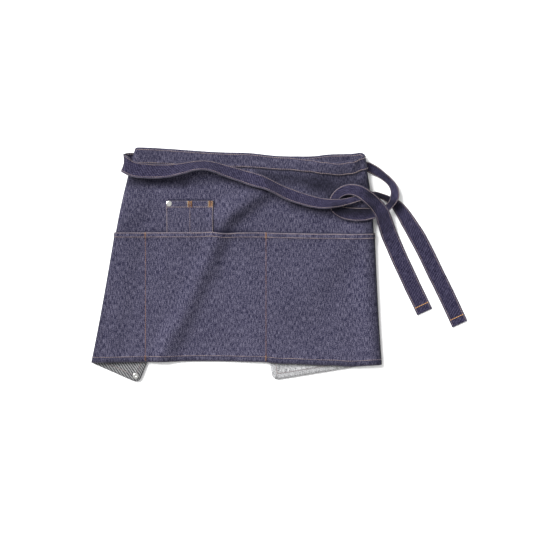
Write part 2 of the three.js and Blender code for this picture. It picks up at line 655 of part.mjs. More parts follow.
// A rivet: a domed cap outside, a shank through the cloth and a burr ring inside
function rivetGeometry(through) {
  const cap = rivetCap / 2;
  const shank = rivetShank / 2;
  const inside = -through - gap;
  const outline = [
    new THREE.Vector2(0, inside - rivetCapThick),
    new THREE.Vector2(cap * 0.92, inside - rivetCapThick),
    new THREE.Vector2(cap, inside),
    new THREE.Vector2(shank, inside),
    new THREE.Vector2(shank, gap),
    new THREE.Vector2(cap, gap),
    new THREE.Vector2(cap * 0.96, gap + rivetCapThick * 0.5),
    new THREE.Vector2(cap * 0.6, gap + rivetCapThick),
    new THREE.Vector2(0, gap + rivetCapThick),
  ];
  const lathe = new THREE.LatheGeometry(outline, 16);
  lathe.deleteAttribute('normal');
  lathe.deleteAttribute('uv');
  lathe.rotateX(Math.PI / 2);
  const geometry = mergeVertices(lathe, 1e-4);
  geometry.computeVertexNormals();
  return geometry;
}

const rivetSpots = {
  pen: { u: pen.left + rivetCap / 2, v: pen.top - rivetCap / 2 },
  flap: { u: -halfWidth + rivetInset, v: rivetInset },
};

const library = await Module();
library.setup();

function toSolid(geometry) {
  const vertProperties = Float32Array.from(geometry.attributes.position.array);
  const triVerts = Uint32Array.from(geometry.index.array);
  return new library.Manifold(new library.Mesh({ numProp: 3, vertProperties, triVerts }));
}

function fromSolid(solid) {
  const mesh = solid.getMesh();
  const geometry = new THREE.BufferGeometry();
  geometry.setAttribute('position', new THREE.BufferAttribute(new Float32Array(mesh.vertProperties), 3));
  geometry.setIndex(new THREE.BufferAttribute(new Uint32Array(mesh.triVerts), 1));
  geometry.computeVertexNormals();
  return geometry;
}

// Where a rivet stands: on the outer face of the cloth pile, its axis along the cloth's normal
function rivetPose(spot, pile) {
  const normal = clothNormal(spot.u, spot.v);
  const matrix = new THREE.Matrix4();
  const turn = new THREE.Quaternion().setFromUnitVectors(new THREE.Vector3(0, 0, 1), normal);
  matrix.compose(onCloth(spot.u, spot.v, pile), turn, new THREE.Vector3(1, 1, 1));
  return matrix;
}

function punched(geometry, poses) {
  const drill = new THREE.CylinderGeometry(rivetShank / 2 + gap, rivetShank / 2 + gap, drillLength, 12);
  drill.deleteAttribute('normal');
  drill.deleteAttribute('uv');
  drill.rotateX(Math.PI / 2);
  const clean = mergeVertices(drill, 1e-4);
  const holes = poses.map((pose) => toSolid(clean.clone().applyMatrix4(pose)));
  return fromSolid(holes.reduce((solid, hole) => solid.subtract(hole), toSolid(geometry)));
}

const denim = { color: 0x55527a, roughness: 0.92, metalness: 0 };
const pieces = [];

function addPiece(name, geometry, finish) {
  const mesh = new THREE.Mesh(geometry, new THREE.MeshStandardMaterial(finish));
  mesh.name = name;
  pieces.push(mesh);
}

const penPile = clothWall / 2 + gap + penWall;
const flapPile = clothWall / 2 + gap + pocketWall;
const penPose = rivetPose(rivetSpots.pen, penPile);
const flapPose = rivetPose(rivetSpots.flap, flapPile);

addPiece('panel', punched(panelGeometry(), [penPose, flapPose]), { ...denim });
addPiece('waistband', bandGeometry(), { ...denim, color: 0x565069 });
addPiece('main_pocket', punched(pocketGeometry(), [flapPose]), { ...denim, color: 0x57546d });
addPiece('pen_pocket', punched(penGeometry(), [penPose]), { ...denim, color: 0x545170 });
addPiece('right_tie', stripGeometry(rightTieRoute, tieLead(foldLines.right)), { ...denim, color: 0x474260 });
addPiece('left_tie', stripGeometry(leftTieRoute, tieLead(foldLines.left)), { ...denim, color: 0x4b4868 });
const nickel = { color: 0xd8d8d6, roughness: 0.25, metalness: 1 };
addPiece('pen_pocket_rivet', rivetGeometry(penPile + clothWall / 2).applyMatrix4(penPose), nickel);
addPiece('flap_rivet', rivetGeometry(flapPile + clothWall / 2 + hemExtra).applyMatrix4(flapPose), nickel);

const apron = new THREE.Group();
apron.add(...pieces);
const box = new THREE.Box3().setFromObject(apron);
const middle = box.getCenter(new THREE.Vector3());
apron.position.set(-middle.x, -middle.y, -box.min.z);
apron.updateMatrixWorld(true);

export default apron;
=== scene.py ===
"""Waist apron in dark denim, laid flat with its sides folded back and its ties half knotted.

Metres, +Z up. Every sewn piece is worked out on the cut cloth, where u runs across from the centre and
v up from the hem, and is then laid on the one folded surface that they share.
"""
import logging
import math
from dataclasses import dataclass, field, replace
from enum import Enum, IntEnum
from typing import Callable, NamedTuple, Protocol, Sequence

import bmesh
import bpy
import numpy as np
from mathutils import Matrix, Vector


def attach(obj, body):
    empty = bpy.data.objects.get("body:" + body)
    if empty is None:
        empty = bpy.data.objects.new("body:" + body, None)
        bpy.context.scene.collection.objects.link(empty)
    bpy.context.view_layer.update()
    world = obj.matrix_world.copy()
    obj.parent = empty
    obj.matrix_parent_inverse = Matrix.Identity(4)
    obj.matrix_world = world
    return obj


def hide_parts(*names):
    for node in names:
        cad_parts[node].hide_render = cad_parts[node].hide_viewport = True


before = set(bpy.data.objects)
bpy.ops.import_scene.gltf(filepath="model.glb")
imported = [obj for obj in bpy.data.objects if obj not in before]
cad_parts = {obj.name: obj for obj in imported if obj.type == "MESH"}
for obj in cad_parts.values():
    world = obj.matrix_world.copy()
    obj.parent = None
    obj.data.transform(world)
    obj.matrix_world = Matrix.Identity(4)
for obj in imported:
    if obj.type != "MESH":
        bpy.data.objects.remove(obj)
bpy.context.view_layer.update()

Array = np.ndarray
Colour = tuple[float, float, float, float]
log = logging.getLogger("apron")


class FoldRadius(NamedTuple):
    """Radius of each fold at one height: up is a share of the cut height, the radii are in metres."""

    up: float
    left: float
    right: float


class WaistSpot(NamedTuple):
    """Front waist edge: across in shares of half the width, dip of the cut height, lift of the mouth."""

    across: float
    dip: float
    lift: float


class EdgeSpot(NamedTuple):
    """An edge's rise over a straight line, in shares of the cut height, at a share of its length."""

    across: float
    rise: float


class Ridge(NamedTuple):
    """A soft ridge of the front: both ends in shares, height and width in shares of the largest."""

    from_x: float
    from_y: float
    to_x: float
    to_y: float
    height: float
    width: float


class PaintedShadeLine(NamedTuple):
    """A soft line of painted shade on the lying cloth, in shares of half the cut width and of the cut height."""

    x0: float
    y0: float
    x1: float
    y1: float
    reach: float
    depth: float


class TieSpot(NamedTuple):
    """One row of a tie's route: x and y in shares of half the cut width and of the cut height."""

    x: float
    y: float
    over: float
    layers: float
    face: float
    lean: float
    gather: float
    lift: float = 0.0


def smooth(low: float | Array, high: float | Array, value: float | Array) -> Array:
    """Rise smoothly from 0 at low to 1 at high.

    Args:
        low: Where the rise starts.
        high: Where it ends.
        value: Where it is read.

    Returns:
        The share, from 0 to 1.
    """
    share = np.clip((value - low) / (high - low), 0.0, 1.0)
    return share * share * (3.0 - 2.0 * share)


def look_up(rows: Sequence[NamedTuple], column: str, at: Array) -> Array:
    """Read a table between its rows, easing from one row to the next.

    Args:
        rows: The table, in the order of its first column.
        column: The column to read.
        at: Where to read it, in the first column's terms.

    Returns:
        The value at each place.
    """
    keys = np.array([row[0] for row in rows])
    values = np.array([getattr(row, column) for row in rows])
    inside = np.clip(at, keys[0], keys[-1])
    after = np.clip(np.searchsorted(keys, inside, side="right"), 1, len(keys) - 1)
    share = (inside - keys[after - 1]) / (keys[after] - keys[after - 1])
    eased = 0.5 - 0.5 * np.cos(np.pi * share)
    return values[after - 1] + (values[after] - values[after - 1]) * eased


def stacked(*parts: Array) -> Array:
    """Join coordinates into points, one row each."""
    return np.stack(np.broadcast_arrays(*parts), axis=-1)


def unit(vectors: Array) -> Array:
    """Scale vectors to length one."""
    return vectors / np.maximum(np.linalg.norm(vectors, axis=-1, keepdims=True), 1e-12)


class Surface(Protocol):
    """Anything that thread can be sewn on."""

    def place(self, u: Array, v: Array, offset: Array | float) -> Array:
        """Give points at (u, v), raised by the offset."""

    def normal(self, u: Array, v: Array) -> Array:
        """Give the outward directions at (u, v)."""


class Side(Enum):
    """The two side folds of the apron."""

    LEFT = -1
    RIGHT = 1


FOLD_RADII = (
    FoldRadius(0.0, 0.0034, 0.0034),
    FoldRadius(0.35, 0.0038, 0.0038),
    FoldRadius(0.75, 0.0044, 0.0046),
    FoldRadius(1.0, 0.0046, 0.0062),
)


@dataclass(frozen=True)
class Fold:
    """One fold line of the cut cloth, which crosses the hem and the waist at shares of half its width."""

    side: Side
    hem: float
    waist: float
    half_width: float
    height: float
    bow_height: float = 0.0052

    @property
    def sign(self) -> int:
        """-1 on the left and 1 on the right."""
        return self.side.value

    @property
    def foot(self) -> float:
        """Where the fold crosses the hem."""
        return self.sign * self.hem * self.half_width

    @property
    def out(self) -> tuple[float, float]:
        """The direction across the fold, away from the front.

        Returns:
            The direction, of length one.
        """
        lean = self.sign * self.waist * self.half_width - self.foot
        length = math.hypot(lean, self.height)
        return self.sign * self.height / length, -self.sign * lean / length

    def bow(self, v: Array) -> Array:
        """How far the fold bows out at a height."""
        return self.bow_height * np.sin(np.pi * np.clip(v / self.height, 0.0, 1.0) ** 2)

    def radius(self, v: Array) -> Array:
        """The fold's radius at a height."""
        column = "left" if self.side is Side.LEFT else "right"
        return look_up(FOLD_RADII, column, np.asarray(v) / self.height)

    def past(self, u: Array, v: Array) -> Array:
        """How far a place of the cloth is past the fold line."""
        return (u - self.foot) * self.out[0] + v * self.out[1] - self.bow(v)

    def across_at(self, v: Array, distance: Array) -> Array:
        """Where a line lies that runs at a distance past the fold."""
        return self.foot + (distance + self.bow(v) - v * self.out[1]) / self.out[0]

    def turned_over(self, u: float, v: float) -> tuple[float, float]:
        """Where a place of the flap lies in plan once it is folded under.

        Args:
            u: A place across the cut cloth.
            v: A place up the cut cloth.

        Returns:
            The place in plan, across and up.
        """
        past = float(self.past(u, v))
        radius = float(self.radius(v))
        move = -radius - (past + radius - math.pi * radius) - past
        return u + self.out[0] * move, v + self.out[1] * move


@dataclass
class FoldedCloth:
    """The apron's cloth on its cut shape, and the folded surface that it lies in."""

    cut_width: float = 0.696
    cut_height: float = 0.330
    wall: float = 0.0011
    pocket_wall: float = 0.0011
    hem_extra: float = 0.0009
    hem_width: float = 0.012
    corner_radius: float = 0.0085
    band_height: float = 0.0254
    pocket_height: float = 0.200
    pocket_gape: float = 0.0052
    gape_depth: float = 0.055
    divider_reach: float = 0.185
    pen_width: float = 0.0727
    pen_depth: float = 0.108
    pen_rise: float = 0.048
    pen_from_divider: float = 0.0322
    rivet_cap: float = 0.009
    rivet_cap_thick: float = 0.0009
    rivet_inset: float = 0.0085
    tie_thick: float = 0.0022
    gap: float = 0.00035
    layer_gap: float = 0.0014
    mouth_lift: float = 0.013
    mouth_reach: float = 0.042
    tie_zone: float = 0.71
    tie_zone_ramp: float = 0.080
    slope_width: float = 0.058
    slope_end: float = 0.002
    crest_clear: float = 0.004
    rivet_tent: float = 4.0
    side_gape: float = 0.3
    fold_still: float = 0.025
    hem_ease: float = 1.2
    hem_stop: tuple[float, float] = (0.008, 0.001)
    band_step: tuple[float, float] = (0.009, 0.003)
    pocket_step: tuple[float, float] = (0.002, 0.008)
    dip_span: tuple[float, float] = (0.74, 1.03)
    flap_span: tuple[float, float] = (0.6, 1.0)
    ridge_start: tuple[float, float] = (-0.3, 0.15)
    ridge_stop: tuple[float, float] = (0.85, 1.3)
    puff_reach: float = 0.042
    ridge_height: float = 0.007
    ridge_width: float = 0.016
    waist_line: tuple[WaistSpot, ...] = (
        WaistSpot(-0.58, 0.0, 0.0),
        WaistSpot(-0.12, 0.024, 0.0),
        WaistSpot(0.09, 0.0415, 0.06),
        WaistSpot(0.19, 0.053, 0.42),
        WaistSpot(0.25, 0.065, 0.78),
        WaistSpot(0.32, 0.0735, 1.0),
        WaistSpot(0.37, 0.067, 0.85),
        WaistSpot(0.43, 0.044, 0.0),
    )
    hem_line: tuple[EdgeSpot, ...] = (
        EdgeSpot(-0.77, 0.0),
        EdgeSpot(-0.25, 0.0066),
        EdgeSpot(-0.03, 0.003),
        EdgeSpot(0.08, -0.006),
        EdgeSpot(0.29, -0.0135),
        EdgeSpot(0.37, -0.0187),
        EdgeSpot(0.51, -0.011),
    )
    flap_line: tuple[EdgeSpot, ...] = (
        EdgeSpot(0.0, -0.018),
        EdgeSpot(0.3, -0.001),
        EdgeSpot(0.63, 0.021),
        EdgeSpot(1.0, 0.008),
    )
    ridges: tuple[Ridge, ...] = (
        Ridge(0.0, 0.8, -0.19, 0.66, 1.4, 0.8),
        Ridge(-0.205, 0.6, -0.43, 0.06, 0.9, 0.85),
        Ridge(0.37, 0.56, 0.14, 0.22, 0.5, 1.5),
        Ridge(-0.42, 0.17, -0.47, 0.02, 0.5, 0.6),
        Ridge(-0.15, 0.76, -0.24, 0.66, 0.45, 0.5),
        Ridge(-0.6, 0.56, -0.68, 0.08, 0.3, 1.0),
    )
    # Painted shade: soft dark lines where the creases, the knot, the hem and the folds' edges fall in shade.
    painted_shade_lines: tuple[PaintedShadeLine, ...] = (
        PaintedShadeLine(-0.02, 0.868, 0.26, 0.835, 0.019, 0.75),
        PaintedShadeLine(0.13, 0.735, 0.44, 0.67, 0.017, 0.6),
        PaintedShadeLine(0.22, 0.82, 0.46, 0.81, 0.026, 0.8),
        PaintedShadeLine(0.29, 0.775, 0.385, 0.78, 0.014, 0.95),
        PaintedShadeLine(0.0, 0.82, -0.13, 0.685, 0.018, 0.4),
        PaintedShadeLine(-0.61, 0.84, -0.36, 0.835, 0.013, 0.7),
        PaintedShadeLine(-0.36, 0.835, -0.05, 0.86, 0.011, 0.35),
        PaintedShadeLine(-0.5, 0.72, -0.62, 0.63, 0.02, 0.2),
        PaintedShadeLine(0.465, 0.85, 0.515, 0.02, 0.024, 0.75),
        PaintedShadeLine(-0.65, 0.83, -0.695, 0.62, 0.018, 0.6),
        PaintedShadeLine(-0.69, 0.6, -0.775, 0.02, 0.018, 0.6),
        PaintedShadeLine(0.36, 0.52, 0.1, 0.24, 0.035, 0.16),
        PaintedShadeLine(-0.7, 0.0, 0.49, -0.015, 0.010, 0.5),
    )
    lead: float = 0.010
    normal_steps: tuple[float, float] = (0.0004, 0.006)
    pen_cover: tuple[float, float] = (0.016, 0.003)
    shift: tuple[float, float, float] = (-0.0206936, -0.1506844, 0.0)
    left: Fold = field(init=False)
    right: Fold = field(init=False)

    def __post_init__(self) -> None:
        """Set the two folds."""
        size = {"half_width": self.half_width, "height": self.cut_height}
        self.left = Fold(Side.LEFT, hem=0.766, waist=0.569, **size)
        self.right = Fold(Side.RIGHT, hem=0.506, waist=0.43, **size)

    @property
    def half_width(self) -> float:
        """Half the cut width."""
        return self.cut_width / 2

    @property
    def leaf(self) -> float:
        """One wall of cloth and the gap under it."""
        return self.wall + self.gap

    @property
    def sewn_line(self) -> float:
        """How far inside the border the hem is sewn."""
        return self.hem_width * 0.71

    @property
    def panel_top(self) -> float:
        """Where the panel ends inside the waistband."""
        return self.cut_height - self.leaf - self.wall / 2

    @property
    def band_low(self) -> float:
        """The waistband's lower edge."""
        return self.cut_height - self.band_height

    @property
    def pen_left(self) -> float:
        """The pen pocket's left side."""
        return self.pen_from_divider - self.divider_reach

    @property
    def pen_right(self) -> float:
        """The pen pocket's right side."""
        return self.pen_left + self.pen_width

    @property
    def pen_top(self) -> float:
        """The pen pocket's top edge."""
        return self.pocket_height + self.pen_rise

    @property
    def pen_bottom(self) -> float:
        """The pen pocket's lower end."""
        return self.pen_top - self.pen_depth

    def face_over(self, wall: float) -> float:
        """Height of a pocket's outer face over the panel's middle."""
        return self.wall / 2 + self.gap + wall

    @property
    def folds(self) -> tuple[Fold, Fold]:
        """Both folds."""
        return self.left, self.right

    def shade_at(self, points: Array, painted_shade_lines: Sequence[PaintedShadeLine]) -> Array:
        """How much painted shade the dark lines put on the lying cloth, in a hollow or beside a fold, from 0 to
        1.

        Args:
            points: Points of the cloth in the frame.
            painted_shade_lines: The dark lines.

        Returns:
            The shade at each.
        """
        light = np.ones(len(points))
        for line in painted_shade_lines:
            start = np.array([line.x0 * self.half_width, line.y0 * self.cut_height])
            run = np.array([line.x1 * self.half_width, line.y1 * self.cut_height]) - start
            past = points[:, :2] - self.shift[:2] - start
            share = np.clip(past @ run / (run @ run), 0.0, 1.0)
            away = np.linalg.norm(past - share[:, None] * run, axis=1)
            light *= 1.0 - line.depth * (1.0 - smooth(0.0, line.reach, away))
        return 1.0 - light

    def in_tie_zone(self, y: Array) -> Array:
        """How fully the ties lie under a height: 1 where they do."""
        zone = self.cut_height * self.tie_zone
        return smooth(zone - self.tie_zone_ramp, zone, y)

    def propped(self, x: Array, y: Array) -> Array:
        """How fully a flap, or the ties, hold the front up: 1 over them, 0 on the bare surface.

        Args:
            x: Places across the lying cloth.
            y: Places up the lying cloth.

        Returns:
            The share at each place.
        """
        bare = np.ones_like(np.asarray(x, dtype=float))
        for fold in self.folds:
            low = fold.turned_over(fold.sign * self.half_width, 0.0)
            high = fold.turned_over(fold.sign * self.half_width, self.cut_height)
            run = (high[0] - low[0], high[1] - low[1])
            length = math.hypot(*run)
            inward = (fold.sign * run[1] / length, -fold.sign * run[0] / length)
            inside = (x - low[0]) * inward[0] + (y - low[1]) * inward[1]
            bare = bare * (1.0 - smooth(-self.slope_width, -self.slope_end, inside))
        return 1.0 - bare * (1.0 - self.in_tie_zone(y))

    def rivet_lift(self, x: Array, y: Array, spot: tuple[float, float]) -> Array:
        """How far a rivet's cap holds the cloth off what it lies on.

        Args:
            x: Places across the lying cloth.
            y: Places up the lying cloth.
            spot: The rivet's place.

        Returns:
            The height that it adds at each place.
        """
        away = np.hypot(x - spot[0], y - spot[1])
        tent = 1.0 - smooth(self.rivet_cap, self.rivet_cap * self.rivet_tent, away)
        return (self.rivet_cap_thick + self.gap) * tent

    @property
    def pen_rivet(self) -> tuple[float, float]:
        """The pen pocket's rivet on the cut cloth."""
        return self.pen_left + self.rivet_cap / 2, self.pen_top - self.rivet_cap / 2

    @property
    def flap_rivet(self) -> tuple[float, float]:
        """The left flap's rivet on the cut cloth."""
        return self.rivet_inset - self.half_width, self.rivet_inset

    def flap_height(self, x: Array, y: Array) -> Array:
        """Height of a flap's middle where it lies behind the front.

        Args:
            x: Places across the lying cloth.
            y: Places up the lying cloth.

        Returns:
            The height at each place.
        """
        low = self.pocket_wall + self.gap
        high = self.tie_thick + self.gap + self.leaf
        cap = self.rivet_lift(x, y, self.left.turned_over(*self.flap_rivet))
        return low + (high - low) * self.in_tie_zone(y) + self.wall / 2 + cap

    def spacing(self, y: Array) -> Array:
        """Height of the front's middle over the flap's."""
        hem = self.hem_extra * (1.0 - smooth(self.hem_width, self.hem_width * 2, y))
        return self.wall + self.layer_gap + 2 * self.leaf * self.in_tie_zone(y) + hem

    def ridge_at(self, x: Array, y: Array) -> Array:
        """Height of the front's soft ridges at a place.

        Args:
            x: Places across the lying cloth.
            y: Places up the lying cloth.

        Returns:
            The height at each place.
        """
        height = np.zeros_like(np.asarray(x, dtype=float))
        for ridge in self.ridges:
            start = (ridge.from_x * self.half_width, ridge.from_y * self.cut_height)
            run = (ridge.to_x * self.half_width - start[0], ridge.to_y * self.cut_height - start[1])
            length = math.hypot(*run)
            share = ((x - start[0]) * run[0] + (y - start[1]) * run[1]) / length**2
            away = ((x - start[0]) * run[1] - (y - start[1]) * run[0]) / length
            ends = smooth(*self.ridge_start, share) * (1.0 - smooth(*self.ridge_stop, share))
            crest = np.exp(-((away / (ridge.width * self.ridge_width)) ** 2))
            height = height + self.ridge_height * ridge.height * ends * crest
        return height

    def front_height(self, u: Array, v: Array, x: Array, y: Array) -> Array:
        """Height of the front cloth's middle.

        Args:
            u: Places across the cut cloth.
            v: Places up the cut cloth.
            x: Places across the lying cloth.
            y: Places up the lying cloth.

        Returns:
            The height at each place.
        """
        hem = self.hem_extra * (1.0 - smooth(self.hem_width, self.hem_width * 2, y))
        low = self.wall / 2 + self.gap + hem
        high = self.flap_height(x, y) + self.spacing(y)
        height = low + (high - low) * self.propped(x, y)
        clear = 1.0
        for fold in self.folds:
            past = fold.past(u, v)
            radius = fold.radius(v)
            near = 1.0 - smooth(0.0, self.puff_reach, -radius - past)
            height = height + (2 * radius - self.spacing(y)) * near
            clear = clear * smooth(self.crest_clear, self.puff_reach, -past)
        mouth = look_up(self.waist_line, "lift", u / self.half_width)
        mouth = self.mouth_lift * mouth * smooth(self.cut_height - self.mouth_reach, self.cut_height, v)
        return height + clear * self.ridge_at(x, y) + mouth + self.rivet_lift(u, v, self.pen_rivet)

    def front_shift(self, u: Array, v: Array) -> Array:
        """How far the front's cloth lies up or down from its cut shape.

        Args:
            u: Places across the cut cloth.
            v: Places up the cut cloth.

        Returns:
            The move up at each place.
        """
        share = np.clip(v / self.cut_height, 0.0, 1.05)
        dip = self.cut_height * look_up(self.waist_line, "dip", u / self.half_width)
        rise = self.cut_height * look_up(self.hem_line, "rise", u / self.half_width)
        low, high = (self.cut_height * end for end in self.dip_span)
        return rise * (1.0 - share) - dip * smooth(low, high, v)

    def flap_shift(self, fold: Fold, u: Array, v: Array) -> Array:
        """How far a flap's cloth lies up or down from its cut shape.

        Args:
            fold: The flap's fold.
            u: Places across the cut cloth.
            v: Places up the cut cloth.

        Returns:
            The move up at each place.
        """
        if fold.side is Side.LEFT:
            return np.zeros_like(u)
        radius = fold.radius(v)
        past = fold.past(u, v) + radius - np.pi * radius
        rise = look_up(self.flap_line, "rise", past / fold.past(fold.sign * self.half_width, v))
        low, high = (self.cut_height * end for end in self.flap_span)
        return self.cut_height * rise * smooth(low, high, v)

    def middle_by(self, fold: Fold, u: Array, v: Array) -> Array:
        """The middle of the cloth on one fold's half of the apron.

        Args:
            fold: The fold on that half.
            u: Places across the cut cloth.
            v: Places up the cut cloth.

        Returns:
            The points in the apron's own place.
        """
        past = fold.past(u, v)
        radius = fold.radius(v)
        flat_y = v + self.front_shift(u, v)
        flat = stacked(u, flat_y, self.front_height(u, v, u, flat_y))
        crest = fold.across_at(v, -radius)
        turn = np.clip((past + radius) / radius, 0.0, np.pi)
        share = smooth(0.0, np.pi, turn)
        crest_shift = self.front_shift(crest, v)
        shift = crest_shift + (self.flap_shift(fold, u, v) - crest_shift) * share
        extra = np.maximum(past + radius - np.pi * radius, 0.0)
        move = -radius + radius * np.sin(turn) - extra - past
        x = u + fold.out[0] * move
        y = v + fold.out[1] * move + shift
        mouth = self.front_height(crest, v, crest, v + crest_shift)
        floor = self.flap_height(x, y)
        top = np.where(turn < np.pi, mouth, floor + 2 * radius)
        bent = stacked(x, y, floor + (top - floor) * (1.0 + np.cos(turn)) / 2)
        return np.where((past <= -radius)[..., None], flat, bent)

    def middle(self, u: Array, v: Array) -> Array:
        """The middle of the cloth at places of its cut shape."""
        halves = [self.middle_by(fold, u, v) for fold in self.folds]
        return np.where((u < 0)[..., None], *halves)

    def normal(self, u: Array, v: Array) -> Array:
        """The outward direction of the cloth: a short step near the folds, a wide one on the flat.

        Args:
            u: Places across the cut cloth.
            v: Places up the cut cloth.

        Returns:
            The directions, of length one.
        """
        steps = []
        for fold in self.folds:
            past = fold.past(u, v)
            radius = fold.radius(v)
            away = np.maximum(-radius - past, past - radius * (np.pi - 1))
            steps.append(np.clip(away / 2, *self.normal_steps))
        step = np.where(u < 0, *steps)
        across = self.middle(u + step, v) - self.middle(u - step, v)
        up = self.middle(u, v + step) - self.middle(u, v - step)
        return unit(np.cross(across, up))

    def place(self, u: Array, v: Array, offset: Array | float = 0.0) -> Array:
        """Points of the cloth in the frame.

        Args:
            u: Places across the cut cloth.
            v: Places up the cut cloth.
            offset: How far outside the cloth's middle.

        Returns:
            The points.
        """
        u = np.asarray(u, dtype=float)
        v = np.asarray(v, dtype=float)
        raised = self.normal(u, v) * np.broadcast_to(offset, u.shape)[..., None]
        return self.middle(u, v) + raised + np.array(self.shift)

    def hem_at(self, u: Array, v: Array) -> Array:
        """How fully the turned hem lies behind a place: 1 on the hem.

        Args:
            u: Places across the cut cloth.
            v: Places up the cut cloth.

        Returns:
            The share at each place.
        """
        eased = self.hem_width * self.hem_ease
        bottom = 1.0 - smooth(self.hem_width, eased, v)
        sides = smooth(self.half_width - eased, self.half_width - self.hem_width, np.abs(u))
        low, high = (self.band_low - down for down in self.hem_stop)
        return np.maximum(bottom, sides * (1.0 - smooth(low, high, v)))

    def rounded(self, u: Array, v: Array) -> tuple[Array, Array]:
        """Draw the cut cloth's lower corners in.

        Args:
            u: Places across the cut cloth.
            v: Places up the cut cloth.

        Returns:
            The drawn in places, across and up.
        """
        out = np.clip(1.0 - (self.half_width - np.abs(u)) / self.corner_radius, 0.0, 1.0)
        down = np.clip(1.0 - v / self.corner_radius, 0.0, 1.0)
        across = out * (1.0 - np.sqrt(1.0 - down**2 / 2)) * self.corner_radius
        up = down * (1.0 - np.sqrt(1.0 - out**2 / 2)) * self.corner_radius
        return u - np.sign(u) * across, v + up

    def pen_share(self, u: Array, v: Array) -> Array:
        """How fully the pocket lies over the pen pocket: 1 over it.

        Args:
            u: Places across the cut cloth.
            v: Places up the cut cloth.

        Returns:
            The share at each place.
        """
        far, near = self.pen_cover
        sides = smooth(self.pen_left - far, self.pen_left - near, u)
        sides = sides * (1.0 - smooth(self.pen_right + near, self.pen_right + far, u))
        return sides * smooth(self.pen_bottom - far, self.pen_bottom - near, v)

    def gape_at(self, u: Array, v: Array) -> Array:
        """How far the pocket's mouth stands off the panel.

        Args:
            u: Places across the cut cloth.
            v: Places up the cut cloth.

        Returns:
            The distance at each place.
        """
        cell = u / self.divider_reach
        in_cell = cell - np.floor(cell)
        middle = (u < 0) & (u > -self.divider_reach)
        swell = np.sin(np.pi * in_cell) ** 2 * np.where(middle, 1.0, self.side_gape)
        for fold in self.folds:
            swell = swell * smooth(0.0, self.fold_still, -fold.past(u, v))
        top = smooth(self.pocket_height - self.gape_depth, self.pocket_height, v)
        pen = (self.wall + self.gap) * self.pen_share(u, v)
        return np.maximum(self.pocket_gape * swell * top, pen)

    def front_top(self, x: Array, y: Array) -> Array:
        """The top of everything sewn to the front, for the ties to lie on.

        Args:
            x: Places across the lying cloth.
            y: Places up the lying cloth.

        Returns:
            The height at each place.
        """
        safe_y = np.clip(y, 0.0, self.cut_height * 1.02)
        low = self.left.across_at(safe_y, -self.left.radius(safe_y))
        high = self.right.across_at(safe_y, -self.right.radius(safe_y))
        u = np.clip(x, low, high)
        v = safe_y
        for _ in range(4):
            v = np.minimum(safe_y - self.front_shift(u, v), self.cut_height)
        low, high = (self.band_low - down for down in self.band_step)
        band = self.leaf * smooth(low, high, v)
        low, high = (self.pocket_height + up for up in self.pocket_step)
        over = 1.0 - smooth(low, high, v)
        pocket = (self.pocket_wall + self.gap + self.gape_at(u, v)) * over
        return self.front_height(u, v, u, v + self.front_shift(u, v)) + self.wall / 2 + band + pocket


# Painted shade on the ties: inside the knot's loops and on the strap where it lies under the others.
TIE_PAINTED_SHADE_LINES = (
    PaintedShadeLine(0.31, 0.706, 0.45, 0.71, 0.019, 1.0),
    PaintedShadeLine(0.455, 0.785, 0.525, 0.765, 0.016, 0.85),
    PaintedShadeLine(0.47, 0.93, 0.55, 0.86, 0.009, 0.5),
    PaintedShadeLine(0.555, 0.74, 0.585, 0.72, 0.012, 0.7),
    PaintedShadeLine(-0.6, 0.985, -0.5, 0.94, 0.012, 0.8),
)


def tied(*rows: tuple[float, ...]) -> tuple[TieSpot, ...]:
    """Make a tie's route from its rows."""
    return tuple(TieSpot(*row) for row in rows)


RIGHT_TIE_ROUTE = tied(
    (-0.172, 0.847, 0, 0, 88, 0, 1),
    (-0.25, 0.849, 0, 0, 98, 0, 1),
    (-0.4, 0.902, 0, 0, 102, 0, 1),
    (-0.53, 0.937, 0, 0, 98, 0, 0.95),
    (-0.583, 0.942, 0, 0, 90, 0, 0.92),
    (-0.614, 0.938, 0.14, 0, 88, -6, 0.96),
    (-0.623, 0.929, 0.55, 0, 86, -12, 1),
    (-0.612, 0.914, 0.93, 0.05, 86, -16, 0.98),
    (-0.577, 0.896, 1, 0.05, 92, -12, 0.96),
    (-0.52, 0.889, 1, 0.05, 91, -14, 0.94),
    (-0.45, 0.888, 1, 0.05, 88, -20, 0.9),
    (-0.37, 0.899, 1, 0.05, 78, -30, 0.84),
    (-0.31, 0.912, 1, 0.05, 84, -38, 0.76),
    (-0.25, 0.912, 1, 0.05, 98, -36, 0.76),
    (-0.17, 0.887, 1, 0.05, 106, -24, 0.84),
    (-0.09, 0.861, 1, 0.05, 108, -18, 0.86),
    (0, 0.83, 1, 0.05, 112, -16, 0.84),
    (0.09, 0.786, 1, 0.05, 111, -16, 0.83),
    (0.19, 0.751, 1, 0.2, 104, -18, 0.78),
    (0.245, 0.739, 1, 1, 95, -20, 0.7),
    (0.295, 0.738, 1, 1.25, 86, -22, 0.6),
    (0.345, 0.744, 1, 1.2, 78, -20, 0.48),
    (0.4, 0.76, 1, 0.95, 76, -14, 0.42),
    (0.465, 0.781, 0.86, 0.6, 84, 8, 0.36),
    (0.51, 0.774, 0.42, 0.15, 68, 6, 0.36),
    (0.549, 0.755, 0.1, 0, 56, 2, 0.46),
    (0.575, 0.735, 0, 0, 48, 0, 0.66),
    (0.6, 0.704, 0, 0, 38, 0, 0.8),
    (0.631, 0.652, 0, 0, 34, 0, 0.92),
    (0.669, 0.586, 0, 0, 30, 0, 1),
    (0.707, 0.51, 0, 0, 27, 0, 1),
    (0.747, 0.422, 0, 0, 26, 0, 1),
    (0.788, 0.335, 0, 0, 27, 0, 1),
    (0.823, 0.257, 0, 0, 28, 0, 1),
    (0.857, 0.179, 0, 0, 28, 0, 1),
)
